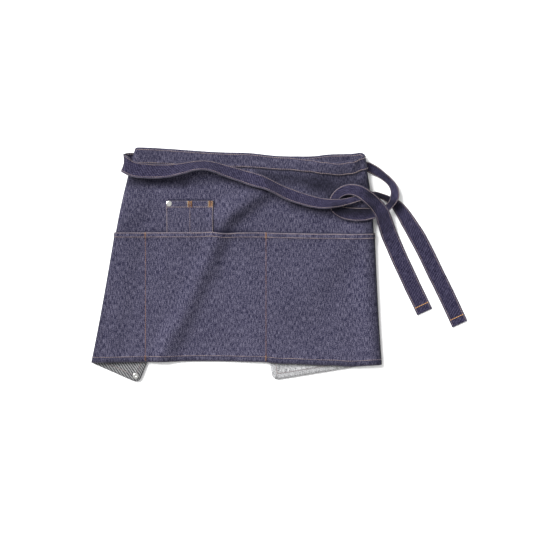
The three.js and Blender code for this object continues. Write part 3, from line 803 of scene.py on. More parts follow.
LEFT_TIE_ROUTE = tied(
    (-0.15, 0.762, 0, 0, 72, 0, 1),
    (-0.06, 0.748, 0, 0, 92, 0, 1),
    (0.08, 0.79, 0, 0, 104, 0, 1),
    (0.25, 0.875, 0, 0, 104, 0, 0.9),
    (0.38, 0.913, 0, 0, 92, 0, 0.68),
    (0.447, 0.912, 0, 0, 74, 0, 0.6),
    (0.484, 0.894, 0, 0, 62, 8, 0.58),
    (0.52, 0.868, 0, 0, 50, 30, 0.5),
    (0.549, 0.84, 0, 0.2, 26, 36, 0.5),
    (0.567, 0.804, 0.12, 0.95, 4, 26, 0.54),
    (0.566, 0.768, 0.3, 1.25, -12, 14, 0.56),
    (0.551, 0.738, 0.5, 1, -38, 6, 0.44),
    (0.52, 0.71, 0.8, 0.45, -64, 0, 0.42),
    (0.478, 0.696, 1, 0, -80, 0, 0.66),
    (0.43, 0.69, 1, 0, -86, 0, 0.84),
    (0.385, 0.69, 1, 0, -92, 0, 0.86),
    (0.34, 0.698, 1, 0, -108, 0, 0.78),
    (0.306, 0.717, 1, 0, -140, 0, 0.62),
    (0.296, 0.746, 1, 0.1, -182, 0, 0.54),
    (0.31, 0.776, 1, 0.35, -220, 0, 0.56),
    (0.338, 0.797, 1, 1.6, -246, 0, 0.62),
    (0.372, 0.803, 1, 2.35, -268, 0, 0.68),
    (0.407, 0.794, 1, 2.4, -296, 0, 0.76),
    (0.442, 0.771, 1, 2.3, -309, 0, 0.82),
    (0.475, 0.74, 1, 1.8, -318, 0, 0.86),
    (0.507, 0.697, 0.85, 1.45, -328, 0, 0.92),
    (0.524, 0.655, 0.55, 0.5, -337, 0, 0.96),
    (0.543, 0.6, 0.16, 0, -338, 0, 1),
    (0.567, 0.542, 0, 0, -336, 0, 1),
    (0.593, 0.479, 0, 0, -335, 0, 1),
    (0.622, 0.414, 0, 0, -335, 0, 1),
    (0.65, 0.35, 0, 0, -335, 0, 1),
    (0.676, 0.294, 0, 0, -334, 0, 1),
    (0.702, 0.2355, 0, 0, -334, 0, 1),
)


def spline_through(points: Array, t: Array) -> Array:
    """A centripetal curve through points.

    Args:
        points: The points, one row each.
        t: Where to read it, from 0 at the first point to 1 at the last.

    Returns:
        The points of the curve.
    """
    padded = np.vstack([2 * points[0] - points[1], points, 2 * points[-1] - points[-2]])
    at = np.clip(t, 0.0, 1.0) * (len(points) - 1)
    base = np.minimum(np.floor(at).astype(int), len(points) - 2)
    w = (at - base)[:, None]
    p0, p1, p2, p3 = (padded[base + k] for k in range(4))

    def pace(a: Array, b: Array) -> Array:
        """The root of the distance between points."""
        return np.sqrt(np.linalg.norm(b - a, axis=1, keepdims=True))

    d0, d1, d2 = pace(p0, p1), pace(p1, p2), pace(p2, p3)
    start = ((p1 - p0) / d0 - (p2 - p0) / (d0 + d1) + (p2 - p1) / d1) * d1
    end = ((p2 - p1) / d1 - (p3 - p1) / (d1 + d2) + (p3 - p2) / d2) * d1
    square = -3 * p1 + 3 * p2 - 2 * start - end
    cube = 2 * p1 - 2 * p2 + start + end
    return p1 + start * w + square * w**2 + cube * w**3


@dataclass
class TieLay:
    """The surface of one tie as it lies: u runs across it and v along it, in metres of its own cloth."""

    cloth: FoldedCloth
    fold: Fold
    route: tuple[TieSpot, ...]
    width: float = 0.0254
    thick: float = 0.0022
    clear: float = 0.0008
    cup: float = 0.08
    steps_per_row: int = 12
    knot_rise: float = 0.014
    aim_step: float = 0.004
    probe_ahead: tuple[float, ...] = (-0.006, 0.0, 0.006)
    probe_aside: tuple[float, ...] = (-0.6, -0.3, 0.0, 0.3, 0.6)
    centres: Array = field(init=False)
    across: Array = field(init=False)
    upward: Array = field(init=False)
    widths: Array = field(init=False)
    run: Array = field(init=False)

    def __post_init__(self) -> None:
        """Work out the tie's stations once."""
        table = (*self.lead_rows(), *self.route)
        last = len(table) - 1
        t = np.linspace(0.0, 1.0, last * self.steps_per_row + 1)
        cloth = self.cloth
        reach = np.array([cloth.half_width, cloth.cut_height, self.knot_rise])
        spots = spline_through(np.array([row[:3] for row in table]) * reach, t)
        read = {name: self.read(table, name, t) for name in TieSpot._fields[2:]}
        face = np.radians(read["face"])
        lean = np.radians(read["lean"])
        self.widths = self.width * read["gather"]
        across = stacked(np.cos(face), np.sin(face), 0.0)
        under = []
        for ahead in self.probe_ahead:
            for share in self.probe_aside:
                aside = share * self.widths
                x = spots[:, 0] + across[:, 0] * aside + across[:, 1] * ahead
                y = spots[:, 1] + across[:, 1] * aside - across[:, 0] * ahead
                under.append(cloth.front_top(x, y))
        rest = read["over"] * (np.max(under, axis=0) + self.clear)
        stack = read["layers"] * (self.thick + cloth.gap) + read["lift"]
        height = rest + stack + self.thick / 2 + self.widths / 2 * np.sin(np.abs(lean))
        self.centres = stacked(spots[:, 0], spots[:, 1], self.eased(height))
        tangent = unit(np.gradient(self.centres, axis=0))
        hint = stacked(np.cos(face) * np.cos(lean), np.sin(face) * np.cos(lean), np.sin(lean))
        square = unit(hint - np.sum(hint * tangent, axis=1, keepdims=True) * tangent)
        square[0] = hint[0]
        self.across = square
        self.upward = unit(np.cross(tangent, square))
        steps = np.linalg.norm(np.diff(self.centres, axis=0), axis=1)
        self.run = np.concatenate([[0.0], np.cumsum(steps)])

    def lead_rows(self) -> list[TieSpot]:
        """Each tie starts at the end of its flap's band and runs on straight for a little way.

        Returns:
            The rows before the route's own.
        """
        cloth = self.cloth
        v = cloth.cut_height - cloth.band_height / 2
        edge = self.fold.sign * cloth.half_width
        ends = cloth.middle(np.array([edge, edge]), np.array([v - self.aim_step, v + self.aim_step]))
        face = math.degrees(math.atan2(ends[1][1] - ends[0][1], ends[1][0] - ends[0][0]))
        rows = []
        for past in (cloth.gap, cloth.lead):
            x, y, z = cloth.middle(np.array([edge + self.fold.sign * past]), np.array([v]))[0]
            lift = z - self.thick / 2
            rows.append(TieSpot(x / cloth.half_width, y / cloth.cut_height, 0.0, 0.0, face, 0.0, 1.0, lift))
        return rows

    def read(self, table: Sequence[TieSpot], column: str, t: Array) -> Array:
        """Read one column of the route between its rows.

        Args:
            table: The rows.
            column: The column to read.
            t: Where to read it, from 0 to 1.

        Returns:
            The value at each place.
        """
        at = t * (len(table) - 1)
        base = np.minimum(np.floor(at).astype(int), len(table) - 2)
        share = smooth(0.0, 1.0, at - base) * 0.4 + (at - base) * 0.6
        values = np.array([getattr(row, column) for row in table], dtype=float)
        return values[base] + (values[base + 1] - values[base]) * share

    def eased(self, height: Array) -> Array:
        """Take the small kinks out of the tie's height.

        Args:
            height: The height at each station.

        Returns:
            The smoother heights.
        """
        reach = self.steps_per_row // 2
        weights = np.hanning(2 * reach + 3)[1:-1]
        padded = np.pad(height, reach, mode="edge")
        return np.convolve(padded, weights / weights.sum(), mode="valid")

    @property
    def length(self) -> float:
        """The tie's length along its middle."""
        return float(self.run[-1])

    def along(self, values: Array, v: Array) -> Array:
        """Read a value of the stations at lengths along the tie.

        Args:
            values: One value or point for each station.
            v: Lengths along the tie.

        Returns:
            The value at each length.
        """
        if values.ndim == 1:
            return np.interp(v, self.run, values)
        return stacked(*(np.interp(v, self.run, values[:, axis]) for axis in range(values.shape[1])))

    def normal(self, u: Array, v: Array) -> Array:
        """The direction out of the tie's face."""
        return unit(self.along(self.upward, np.asarray(v, dtype=float)))

    def place(self, u: Array, v: Array, offset: Array | float = 0.0) -> Array:
        """Points of the tie in the frame.

        Args:
            u: Places across the tie, from minus to plus half its width.
            v: Lengths along it.
            offset: How far outside its middle.

        Returns:
            The points.
        """
        u = np.asarray(u, dtype=float)
        v = np.asarray(v, dtype=float)
        share = u / self.width
        widths = self.along(self.widths, v)
        bulge = self.cup * (self.width - widths) * (1.0 - 4.0 * share**2)
        upward = self.normal(u, v)
        sign = np.sign(upward[..., 2])
        raised = upward * (np.broadcast_to(offset, u.shape) + sign * bulge)[..., None]
        points = self.along(self.centres, v) + unit(self.along(self.across, v)) * (share * widths)[..., None]
        points = points + raised
        floor = self.thick / 2 + np.broadcast_to(offset, u.shape) * sign
        points[..., 2] = np.maximum(points[..., 2], floor)
        return points + np.array(self.cloth.shift)


Socket = bpy.types.NodeSocket
Feed = Socket | float | Colour | tuple[float, float, float]
SOCKET_KINDS = {float: "Float", tuple: "Color", type(None): "Vector"}


class Wiring:
    """Adds shader nodes to one tree and joins them."""

    def __init__(self, tree: bpy.types.NodeTree) -> None:
        """Keep the tree."""
        self.tree = tree

    def feed(self, socket: Socket, value: Feed) -> None:
        """Join a socket to another, or set its value.

        Args:
            socket: The socket to feed.
            value: Another socket, or the value.
        """
        if isinstance(value, bpy.types.NodeSocket):
            self.tree.links.new(value, socket)
        else:
            socket.default_value = value

    def feed_all(self, node: bpy.types.Node, feeds: dict[str | int, Feed]) -> None:
        """Feed several sockets of a node, by name or number."""
        for key, value in feeds.items():
            self.feed(node.inputs[key], value)

    def node(self, kind: str, feeds: dict[str | int, Feed] | None = None, **settings: object) -> bpy.types.Node:
        """Add a node.

        Args:
            kind: The node's type, without the ShaderNode in front.
            feeds: What feeds its sockets, by name or number.
            **settings: The node's own settings.

        Returns:
            The node.
        """
        node = self.tree.nodes.new("ShaderNode" + kind)
        for key, value in settings.items():
            setattr(node, key, value)
        self.feed_all(node, feeds or {})
        return node

    def math(self, operation: str, first: Feed, second: Feed = 0.0, third: Feed = 0.0) -> Socket:
        """Work out one sum of two or three values."""
        return self.node("Math", {0: first, 1: second, 2: third}, operation=operation).outputs[0]

    def times(self, first: Feed, second: Feed) -> Socket:
        """Multiply two values."""
        return self.math("MULTIPLY", first, second)

    def minus(self, first: Feed, second: Feed) -> Socket:
        """Take the second value from the first."""
        return self.math("SUBTRACT", first, second)

    def fused(self, first: Feed, second: Feed, third: Feed) -> Socket:
        """Multiply two values and add a third."""
        return self.math("MULTIPLY_ADD", first, second, third)

    def blend(self, share: Feed, first: Feed, second: Feed, how: str = "MIX") -> Socket:
        """Mix two colours by a share."""
        feeds = {"Factor": share, 6: first, 7: second}
        return self.node("Mix", feeds, data_type="RGBA", blend_type=how, clamp_factor=True).outputs[2]

    def ease(self, value: Feed, low: Feed, high: Feed, start: float = 0.0, end: float = 1.0) -> Socket:
        """Map a value smoothly from one span to another."""
        feeds = {"Value": value, "From Min": low, "From Max": high, "To Min": start, "To Max": end}
        return self.node("MapRange", feeds, interpolation_type="SMOOTHSTEP").outputs[0]

    def fading(self, value: Feed, reach: Feed) -> Socket:
        """Fall smoothly from 1 at nothing to 0 at the reach."""
        return self.minus(1.0, self.ease(value, 0.0, reach))

    def noise(self, place: Socket, scale: tuple[float, float, float], detail: float = 2.0) -> Socket:
        """Read a noise that is stretched by a scale for each axis.

        Args:
            place: Where it is read.
            scale: Features a metre along each axis.
            detail: How many finer layers it has.

        Returns:
            The noise, from 0 to 1.
        """
        moved = self.node("Mapping", {"Vector": place, "Scale": scale}, vector_type="POINT")
        feeds = {"Vector": moved.outputs[0], "Scale": 1.0, "Detail": detail, "Roughness": 0.6}
        return self.node("TexNoise", feeds, noise_dimensions="3D").outputs[0]


class Group(Wiring):
    """A shader node group while it is wired."""

    def __init__(self, name: str, inputs: dict[str, Feed | None]) -> None:
        """Start the group.

        Args:
            name: The group's name.
            inputs: The default of each input by name, or None for a place.
        """
        super().__init__(bpy.data.node_groups.new(name, "ShaderNodeTree"))
        for key, default in inputs.items():
            kind = "NodeSocket" + SOCKET_KINDS[type(default)]
            socket = self.tree.interface.new_socket(key, in_out="INPUT", socket_type=kind)
            if default is not None:
                socket.default_value = default
        self.given = self.tree.nodes.new("NodeGroupInput").outputs

    def close(self, results: dict[str, Socket]) -> bpy.types.NodeTree:
        """Give the group its outputs.

        Args:
            results: What feeds each output by name.

        Returns:
            The group's tree.
        """
        for key, value in results.items():
            kind = "NodeSocketColor" if value.type == "RGBA" else "NodeSocketFloat"
            self.tree.interface.new_socket(key, in_out="OUTPUT", socket_type=kind)
        self.feed_all(self.tree.nodes.new("NodeGroupOutput"), results)
        return self.tree


def new_material(name: str) -> tuple[bpy.types.Material, Wiring, bpy.types.Node]:
    """Start a material.

    Args:
        name: Its name.

    Returns:
        The material, its wiring and its shader.
    """
    material = bpy.data.materials.new(name)
    material.use_nodes = True
    return material, Wiring(material.node_tree), material.node_tree.nodes["Principled BSDF"]


class Effects:
    """The effects that several finishes share, each one a shader node group."""

    fine_pitch = 0.0013

    def __init__(self) -> None:
        """Build the groups."""
        self.weave = self.build_weave()
        self.border = self.build_border()
        self.seam = self.build_seam()
        self.mouth = self.build_mouth()

    def build_weave(self) -> bpy.types.NodeTree:
        """Slubby warp yarns, light weft flecks and the diagonal of the twill.

        Returns:
            The group.
        """
        inputs = {
            "Place": None,
            "Dark": (0.02, 0.02, 0.04, 1.0),
            "Main": (0.07, 0.07, 0.11, 1.0),
            "Light": (0.2, 0.2, 0.24, 1.0),
            "Streak": 1.0,
            "Twill": 0.3,
            "Pitch": 0.0034,
            "Fleck": 0.3,
            "Slant X": 0.82,
            "Slant Y": -0.57,
        }
        group = Group("denim_weave", inputs)
        given = group.given
        place = given["Place"]
        axes = group.node("SeparateXYZ", {0: place}).outputs
        yarn = group.noise(place, (860.0, 135.0, 1.0), 1.0)
        slub = group.noise(place, (250.0, 42.0, 1.0))
        cloud = group.noise(place, (30.0, 16.0, 1.0), 3.0)
        grain = group.noise(place, (1300.0, 900.0, 1.0), 0.0)
        slant = group.math("ADD", group.times(axes[0], given["Slant X"]), group.times(axes[1], given["Slant Y"]))
        broad = group.times(group.math("DIVIDE", slant, given["Pitch"]), math.tau)
        broad = group.math("SINE", group.fused(slub, 5.0, broad))
        fine = group.math("SINE", group.times(slant, math.tau / self.fine_pitch))
        mottle: Feed = 0.0
        for part, weight in ((yarn, 1.45), (slub, 0.12), (grain, 1.5), (cloud, 0.18)):
            mottle = group.fused(group.minus(part, 0.5), weight, mottle)
        tone = group.fused(mottle, given["Streak"], 0.5)
        tone = group.fused(group.times(broad, given["Twill"]), 0.5, tone)
        lower = group.node("MapRange", {"Value": tone, "From Min": 0.0, "From Max": 0.5}).outputs[0]
        upper = group.node("MapRange", {"Value": tone, "From Min": 0.5, "From Max": 1.0}).outputs[0]
        colour = group.blend(lower, given["Dark"], given["Main"])
        colour = group.blend(upper, colour, given["Light"])
        specks = group.ease(group.noise(place, (430.0, 980.0, 1.0), 1.0), 0.6, 0.72)
        colour = group.blend(group.times(specks, given["Fleck"]), colour, given["Light"])
        height = group.fused(fine, 0.22, yarn)
        height = group.fused(broad, group.times(given["Twill"], 0.4), height)
        return group.close({"Colour": colour, "Height": height})

    def build_border(self) -> bpy.types.NodeTree:
        """Distance from the border of a cut sheet, and how worn it is there.

        Returns:
            The group.
        """
        inputs = {"Place": None, "Low X": -1.0, "High X": 1.0, "Low Y": -1.0, "High Y": 1.0, "Reach": 0.002}
        group = Group("border_wear", inputs)
        given = group.given
        axes = group.node("SeparateXYZ", {0: given["Place"]}).outputs
        nearest = []
        for axis, name in zip(axes, "XY"):
            past_low = group.minus(axis, given[f"Low {name}"])
            short_of_high = group.minus(given[f"High {name}"], axis)
            nearest.append(group.math("MINIMUM", past_low, short_of_high))
        distance = group.math("MINIMUM", *nearest)
        patch = group.ease(group.noise(given["Place"], (90.0, 60.0, 1.0)), 0.3, 0.6, 0.45, 1.0)
        wear = group.times(group.fading(distance, given["Reach"]), patch)
        return group.close({"Distance": distance, "Wear": wear})

    def build_seam(self) -> bpy.types.NodeTree:
        """The groove of a sewn line at a distance from the border, and the puckers beside it.

        Returns:
            The group.
        """
        group = Group("sewn_line", {"Place": None, "Distance": 0.0, "Line": 0.008, "Reach": 0.0015})
        given = group.given
        away = group.math("ABSOLUTE", group.minus(given["Distance"], given["Line"]))
        near = group.fading(away, group.times(given["Reach"], 4.0))
        pucker = group.times(near, group.noise(given["Place"], (150.0, 150.0, 1.0)))
        return group.close({"Groove": group.fading(away, given["Reach"]), "Pucker": pucker})

    def build_mouth(self) -> bpy.types.NodeTree:
        """The soft shade on the cloth behind a pocket's mouth, along a line of the cut sheet.

        Returns:
            The group.
        """
        inputs = {"Place": None, "Low X": -1.0, "High X": 1.0, "Line Y": 0.0, "Reach": 0.003, "Fade": 0.002}
        group = Group("mouth_shade", inputs)
        given = group.given
        axes = group.node("SeparateXYZ", {0: given["Place"]}).outputs
        mask = group.fading(group.minus(axes[1], given["Line Y"]), given["Reach"])
        for inside in (group.minus(axes[0], given["Low X"]), group.minus(given["High X"], axes[0])):
            mask = group.times(mask, group.ease(inside, 0.0, given["Fade"]))
        return group.close({"Mask": mask})


class MouthShade(NamedTuple):
    """A pocket's mouth on the cut sheet behind it, and how dark its painted shade is."""

    low_x: float
    high_x: float
    line_y: float
    reach: float
    fade: float
    dark: float

    def feeds(self) -> dict[str, float]:
        """What the mouth_shade group takes."""
        return dict(zip(("Low X", "High X", "Line Y", "Reach", "Fade"), self))


class Sheet(NamedTuple):
    """The cut shape that a finish is drawn on: its borders, and its sewn lines' distance from them."""

    low_x: float
    high_x: float
    low_y: float
    high_y: float
    line: float

    def feeds(self) -> dict[str, float]:
        """What the border_wear group takes."""
        return dict(zip(("Low X", "High X", "Low Y", "High Y"), self))


@dataclass(frozen=True)
class DenimFinish:
    """One face of a denim cloth."""

    name: str
    dark: Colour = (0.0054, 0.0054, 0.018, 1.0)
    main: Colour = (0.0245, 0.0224, 0.0485, 1.0)
    light: Colour = (0.096, 0.09, 0.129, 1.0)
    worn: Colour = (0.138, 0.12, 0.135, 1.0)
    streak: float = 1.8
    twill: float = 0.05
    pitch: float = 0.0034
    fleck: float = 0.08
    wear: float = 0.5
    wear_reach: float = 0.0022
    groove_dark: float = 0.35
    sheen: float = 0.06
    slant: tuple[float, float] = (0.82, -0.57)
    slope_painted_shade: float = 0.6
    shade_dark: float = 1.0
    painted_shade_tint: Colour = (0.14, 0.14, 0.2, 1.0)
    left_dark: float = 0.0
    left_twill: float = 0.0
    middle_reach: float = 0.03
    painted_mouth_shades: tuple[MouthShade, ...] = ()

    def build(self, effects: Effects, sheet: Sheet) -> bpy.types.Material:
        """Make the material for one cut sheet.

        Args:
            effects: The shared groups.
            sheet: The cut shape.

        Returns:
            The material.
        """
        material, wiring, shader = new_material(self.name)
        place = wiring.node("UVMap", uv_map="cut").outputs[0]
        across = wiring.node("SeparateXYZ", {0: place}).outputs[0]
        leftward = wiring.minus(1.0, wiring.ease(across, -self.middle_reach, self.middle_reach))
        yarns = {
            "Place": place,
            "Dark": self.dark,
            "Main": self.main,
            "Light": self.light,
            "Streak": self.streak,
            "Twill": wiring.fused(leftward, self.left_twill, self.twill),
            "Pitch": self.pitch,
            "Fleck": self.fleck,
            "Slant X": self.slant[0],
            "Slant Y": self.slant[1],
        }
        weave = wiring.node("Group", yarns, node_tree=effects.weave).outputs
        borders = {"Place": place, "Reach": self.wear_reach, **sheet.feeds()}
        border = wiring.node("Group", borders, node_tree=effects.border).outputs
        sewn = {"Place": place, "Distance": border["Distance"], "Line": sheet.line}
        seam = wiring.node("Group", sewn, node_tree=effects.seam).outputs
        colour = wiring.blend(wiring.times(border["Wear"], self.wear), weave["Colour"], self.worn)
        colour = wiring.blend(wiring.times(seam["Groove"], self.groove_dark), colour, self.dark)
        colour = wiring.blend(wiring.times(leftward, self.left_dark), colour, self.dark)
        # Painted shade on the cloth just above the pockets' mouths.
        for mouth in self.painted_mouth_shades:
            shade = wiring.node("Group", {"Place": place, **mouth.feeds()}, node_tree=effects.mouth).outputs
            colour = wiring.blend(wiring.times(shade["Mask"], mouth.dark), colour, self.dark)
        # Painted shade on the slopes that turn away from straight up, read from the turned attribute.
        turned = wiring.node("Attribute", attribute_name="turned").outputs["Fac"]
        colour = wiring.blend(wiring.ease(turned, 0.04, 0.6, 0.0, self.slope_painted_shade), colour, self.dark)
        # Painted shade: darken by the shade attribute, the lines of painted shade written on the points.
        shaded = wiring.node("Attribute", attribute_name="shade").outputs["Fac"]
        colour = wiring.blend(wiring.times(shaded, self.shade_dark), colour, self.painted_shade_tint, "MULTIPLY")
        height = wiring.minus(wiring.times(weave["Height"], 0.35), wiring.times(seam["Groove"], 0.5))
        height = wiring.fused(seam["Pucker"], 2.2, height)
        bump = wiring.node("Bump", {"Strength": 0.6, "Distance": 0.0008, "Height": height})
        skin = {
            "Base Color": colour,
            "Roughness": wiring.ease(weave["Height"], 0.3, 0.8, 0.95, 0.82),
            "Normal": bump.outputs[0],
            "Specular IOR Level": 0.15,
            "Sheen Weight": self.sheen,
            "Sheen Roughness": 0.5,
        }
        wiring.feed_all(shader, skin)
        return material


@dataclass(frozen=True)
class ThreadFinish:
    """Twisted sewing thread."""

    name: str
    colour: Colour
    shade: Colour

    def build(self) -> bpy.types.Material:
        """Make the material.

        Returns:
            The material.
        """
        material, wiring, shader = new_material(self.name)
        place = wiring.node("TexCoord").outputs["Object"]
        twist = wiring.noise(place, (1500.0, 1500.0, 1500.0), 1.0)
        fade = wiring.noise(place, (70.0, 70.0, 70.0))
        bump = wiring.node("Bump", {"Strength": 0.5, "Distance": 0.0002, "Height": twist})
        skin = {
            "Base Color": wiring.blend(wiring.ease(fade, 0.35, 0.65), self.shade, self.colour),
            "Roughness": wiring.ease(twist, 0.3, 0.7, 0.5, 0.7),
            "Normal": bump.outputs[0],
        }
        wiring.feed_all(shader, skin)
        return material


@dataclass(frozen=True)
class NickelFinish:
    """Plated rivet metal with a soft, handled gloss."""

    name: str = "nickel"
    colour: Colour = (0.62, 0.62, 0.6, 1.0)
    dull: Colour = (0.3, 0.29, 0.28, 1.0)

    def build(self) -> bpy.types.Material:
        """Make the material.

        Returns:
            The material.
        """
        material, wiring, shader = new_material(self.name)
        place = wiring.node("TexCoord").outputs["Object"]
        tarnish = wiring.ease(wiring.noise(place, (420.0, 420.0, 420.0), 3.0), 0.45, 0.7)
        scratch = wiring.noise(place, (2600.0, 500.0, 800.0))
        bump = wiring.node("Bump", {"Strength": 0.15, "Distance": 0.0001, "Height": scratch})
        skin = {
            "Base Color": wiring.blend(tarnish, self.colour, self.dull),
            "Roughness": wiring.ease(tarnish, 0.0, 1.0, 0.22, 0.4),
            "Normal": bump.outputs[0],
            "Metallic": 1.0,
        }
        wiring.feed_all(shader, skin)
        return material


class Thread(Enum):
    """The threads that the apron is sewn with."""

    TAN = ThreadFinish("tan_thread", (0.252, 0.192, 0.186, 1.0), (0.132, 0.099, 0.114, 1.0))
    COPPER = ThreadFinish("copper_thread", (0.51, 0.264, 0.078, 1.0), (0.33, 0.15, 0.054, 1.0))
    CREAM = ThreadFinish("cream_thread", (0.51, 0.432, 0.33, 1.0), (0.3, 0.24, 0.192, 1.0))
    RUST = ThreadFinish("rust_thread", (0.204, 0.102, 0.072, 1.0), (0.102, 0.051, 0.048, 1.0))


PANEL_INNER_FACE = DenimFinish(
    "panel_inner_face",
    dark=(0.03, 0.03, 0.0318, 1.0),
    main=(0.264, 0.264, 0.27, 1.0),
    light=(0.432, 0.432, 0.438, 1.0),
    worn=(0.372, 0.372, 0.378, 1.0),
    streak=0.9,
    twill=0.15,
    wear=0.2,
    slope_painted_shade=0.2,
    shade_dark=0.0,
    left_dark=0.62,
    slant=(0.52, -0.85),
    left_twill=2.2,
)
BAND_DENIM = DenimFinish("band_denim", main=(0.0205, 0.0182, 0.0395, 1.0), streak=1.4, wear_reach=0.0015)
TIE_DENIM = DenimFinish(
    "tie_denim",
    dark=(0.003, 0.0025, 0.011, 1.0),
    main=(0.0116, 0.0094, 0.029, 1.0),
    light=(0.047, 0.042, 0.074, 1.0),
    worn=(0.125, 0.115, 0.145, 1.0),
    streak=1.4,
    twill=0.5,
    slant=(0.56, 0.82),
    wear=0.8,
    wear_reach=0.0015,
)
Materials = Sequence[bpy.types.Material]
Spot = Callable[[Array, Array], tuple[Array, Array, Array]]


def write_values(data: bpy.types.Mesh, name: str, values: Array) -> None:
    """Keep one value for each point of a mesh."""
    data.attributes.new(name, "FLOAT", "POINT").data.foreach_set("value", values.astype(np.float32))


def finished(name: str, mesh: bmesh.types.BMesh, materials: Materials) -> bpy.types.Object:
    """Turn a built mesh into a piece of the apron.

    Args:
        name: The piece's name.
        mesh: Its shape, which is freed.
        materials: Its materials in order.

    Returns:
        The piece.
    """
    data = bpy.data.meshes.new(name)
    mesh.to_mesh(data)
    mesh.free()
    data.shade_smooth()
    # How far each point faces away from straight up, which the denim finishes darken as painted shade.
    normals = np.empty(len(data.vertices) * 3)
    data.vertices.foreach_get("normal", normals)
    write_values(data, "turned", 1.0 - np.abs(normals.reshape(-1, 3)[:, 2]))
    piece = bpy.data.objects.new(name, data)
    bpy.context.collection.objects.link(piece)
    for material in materials:
        data.materials.append(material)
    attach(piece, "root")
    return piece


def shaded(piece: bpy.types.Object, cloth: FoldedCloth, painted_shade_lines: Sequence[PaintedShadeLine]) -> bpy.types.Object:
    """Write the painted shade of the dark lines on a piece's points.

    Args:
        piece: The piece.
        cloth: The cloth that it is part of, or lies on.
        painted_shade_lines: The dark lines.

    Returns:
        The piece.
    """
    points = np.empty(len(piece.data.vertices) * 3)
    piece.data.vertices.foreach_get("co", points)
    write_values(piece.data, "shade", cloth.shade_at(points.reshape(-1, 3), painted_shade_lines))
    return piece


def laid_grid(columns: int, rows: int, spot: Spot) -> bmesh.types.BMesh:
    """Lay a flat grid on a surface and keep its place on the cut cloth as its UV map.

    Args:
        columns: Steps across.
        rows: Steps up.
        spot: Gives u, v and the points for the grid's shares across and up.

    Returns:
        The mesh.
    """
    mesh = bmesh.new()
    bmesh.ops.create_grid(mesh, x_segments=columns, y_segments=rows, size=0.5)
    flat = np.array([vert.co for vert in mesh.verts])
    u, v, points = spot(flat[:, 0] + 0.5, flat[:, 1] + 0.5)
    layer = mesh.loops.layers.uv.new("cut")
    for vert, point in zip(mesh.verts, points):
        vert.co = point
    mesh.verts.index_update()
    for face in mesh.faces:
        for loop in face.loops:
            index = loop.vert.index
            loop[layer].uv = (u[index], v[index])
    return mesh


def thicken(piece: bpy.types.Object, wall: float, inner_material: int = 0) -> bpy.types.SolidifyModifier:
    """Give a cloth its thickness behind its outer face.

    Args:
        piece: The cloth.
        wall: How thick it gets.
        inner_material: Which of its materials is on its inner face.

    Returns:
        The modifier.
    """
    solid = piece.modifiers.new("wall", "SOLIDIFY")
    solid.thickness = wall
    solid.offset = -1.0
    solid.material_offset = inner_material
    return solid


class Across(IntEnum):
    """Lines that run up the cloth, by their place in the grid's list."""

    PEN_LEFT = 6
    PEN_RIGHT = 7
    RIGHT_EDGE = 13


class Up(IntEnum):
    """Lines that run across the cloth, by their place in the grid's list."""

    PEN_BOTTOM = 3
    POCKET_TOP = 4
    PEN_TOP = 5
    BAND_LOW = 6
    PANEL_TOP = 7


@dataclass
class ClothGrid:
    """The lines that every piece of the cloth shares, so that cloth on cloth stays parallel."""

    cloth: FoldedCloth
    finer: int = 3
    past_hem: float = 1.3

    def across_lines(self, v: Array) -> tuple[list[Array], list[int]]:
        """Each line's place at a height, and the even steps from the one before it.

        Args:
            v: Places up the cut cloth.

        Returns:
            The lines, and the steps to each.
        """
        cloth = self.cloth
        half = cloth.half_width
        inner = cloth.hem_width * self.past_hem
        left, right = cloth.left, cloth.right
        places = [
            (-half, 0),
            (cloth.hem_width - half, 1),
            (inner - half, 1),
            (left.across_at(v, left.radius(v) * (np.pi - 1)), 5),
            (left.across_at(v, -left.radius(v)), 5),
            (-cloth.divider_reach, 3),
            (cloth.pen_left, 4),
            (cloth.pen_right, 8),
            (0.0, 9),
            (right.across_at(v, -right.radius(v)), 17),
            (right.across_at(v, right.radius(v) * (np.pi - 1)), 5),
            (half - inner, 7),
            (half - cloth.hem_width, 1),
            (half, 1),
        ]
        lines = [np.broadcast_to(place, np.shape(v)) for place, _ in places]
        return lines, [steps * self.finer for _, steps in places]

    def up_lines(self) -> tuple[list[float], list[int]]:
        """Each line's height, and the even steps from the one before it.

        Returns:
            The heights, and the steps to each.
        """
        cloth = self.cloth
        places = [
            (0.0, 0),
            (cloth.hem_width, 1),
            (cloth.hem_width * self.past_hem, 1),
            (cloth.pen_bottom, 10),
            (cloth.pocket_height, 5),
            (cloth.pen_top, 5),
            (cloth.band_low, 5),
            (cloth.panel_top, 3),
        ]
        return [place for place, _ in places], [steps * self.finer for _, steps in places]

    def between(self, lines: list, steps: list[int], at: Array) -> Array:
        """Read the lines at a count of steps.

        Args:
            lines: The places of the lines.
            steps: The steps from each line before to it.
            at: The counts.

        Returns:
            The places.
        """
        ends = np.cumsum(steps)
        after = np.clip(np.searchsorted(ends, at, side="left"), 1, len(lines) - 1)
        share = (at - ends[after - 1]) / (ends[after] - ends[after - 1])
        table = np.stack([np.broadcast_to(line, np.shape(at)) for line in lines])
        each = np.arange(len(at))
        return table[after - 1, each] * (1 - share) + table[after, each] * share

    def u_at(self, at: Array, v: Array) -> Array:
        """Places across at a count of steps from the left side."""
        return self.between(*self.across_lines(v), at)

    def v_at(self, at: Array) -> Array:
        """Heights at a count of steps from the bottom."""
        return self.between(*self.up_lines(), at)

    def steps_to(self, line: Across | Up) -> int:
        """Steps from the first line to another."""
        steps = self.up_lines()[1] if isinstance(line, Up) else self.across_lines(np.zeros(1))[1]
        return int(np.sum(steps[: line + 1]))


STITCH_STEPS = 4
STITCH_DIP = -1.4
STITCH_CROWN = 0.6


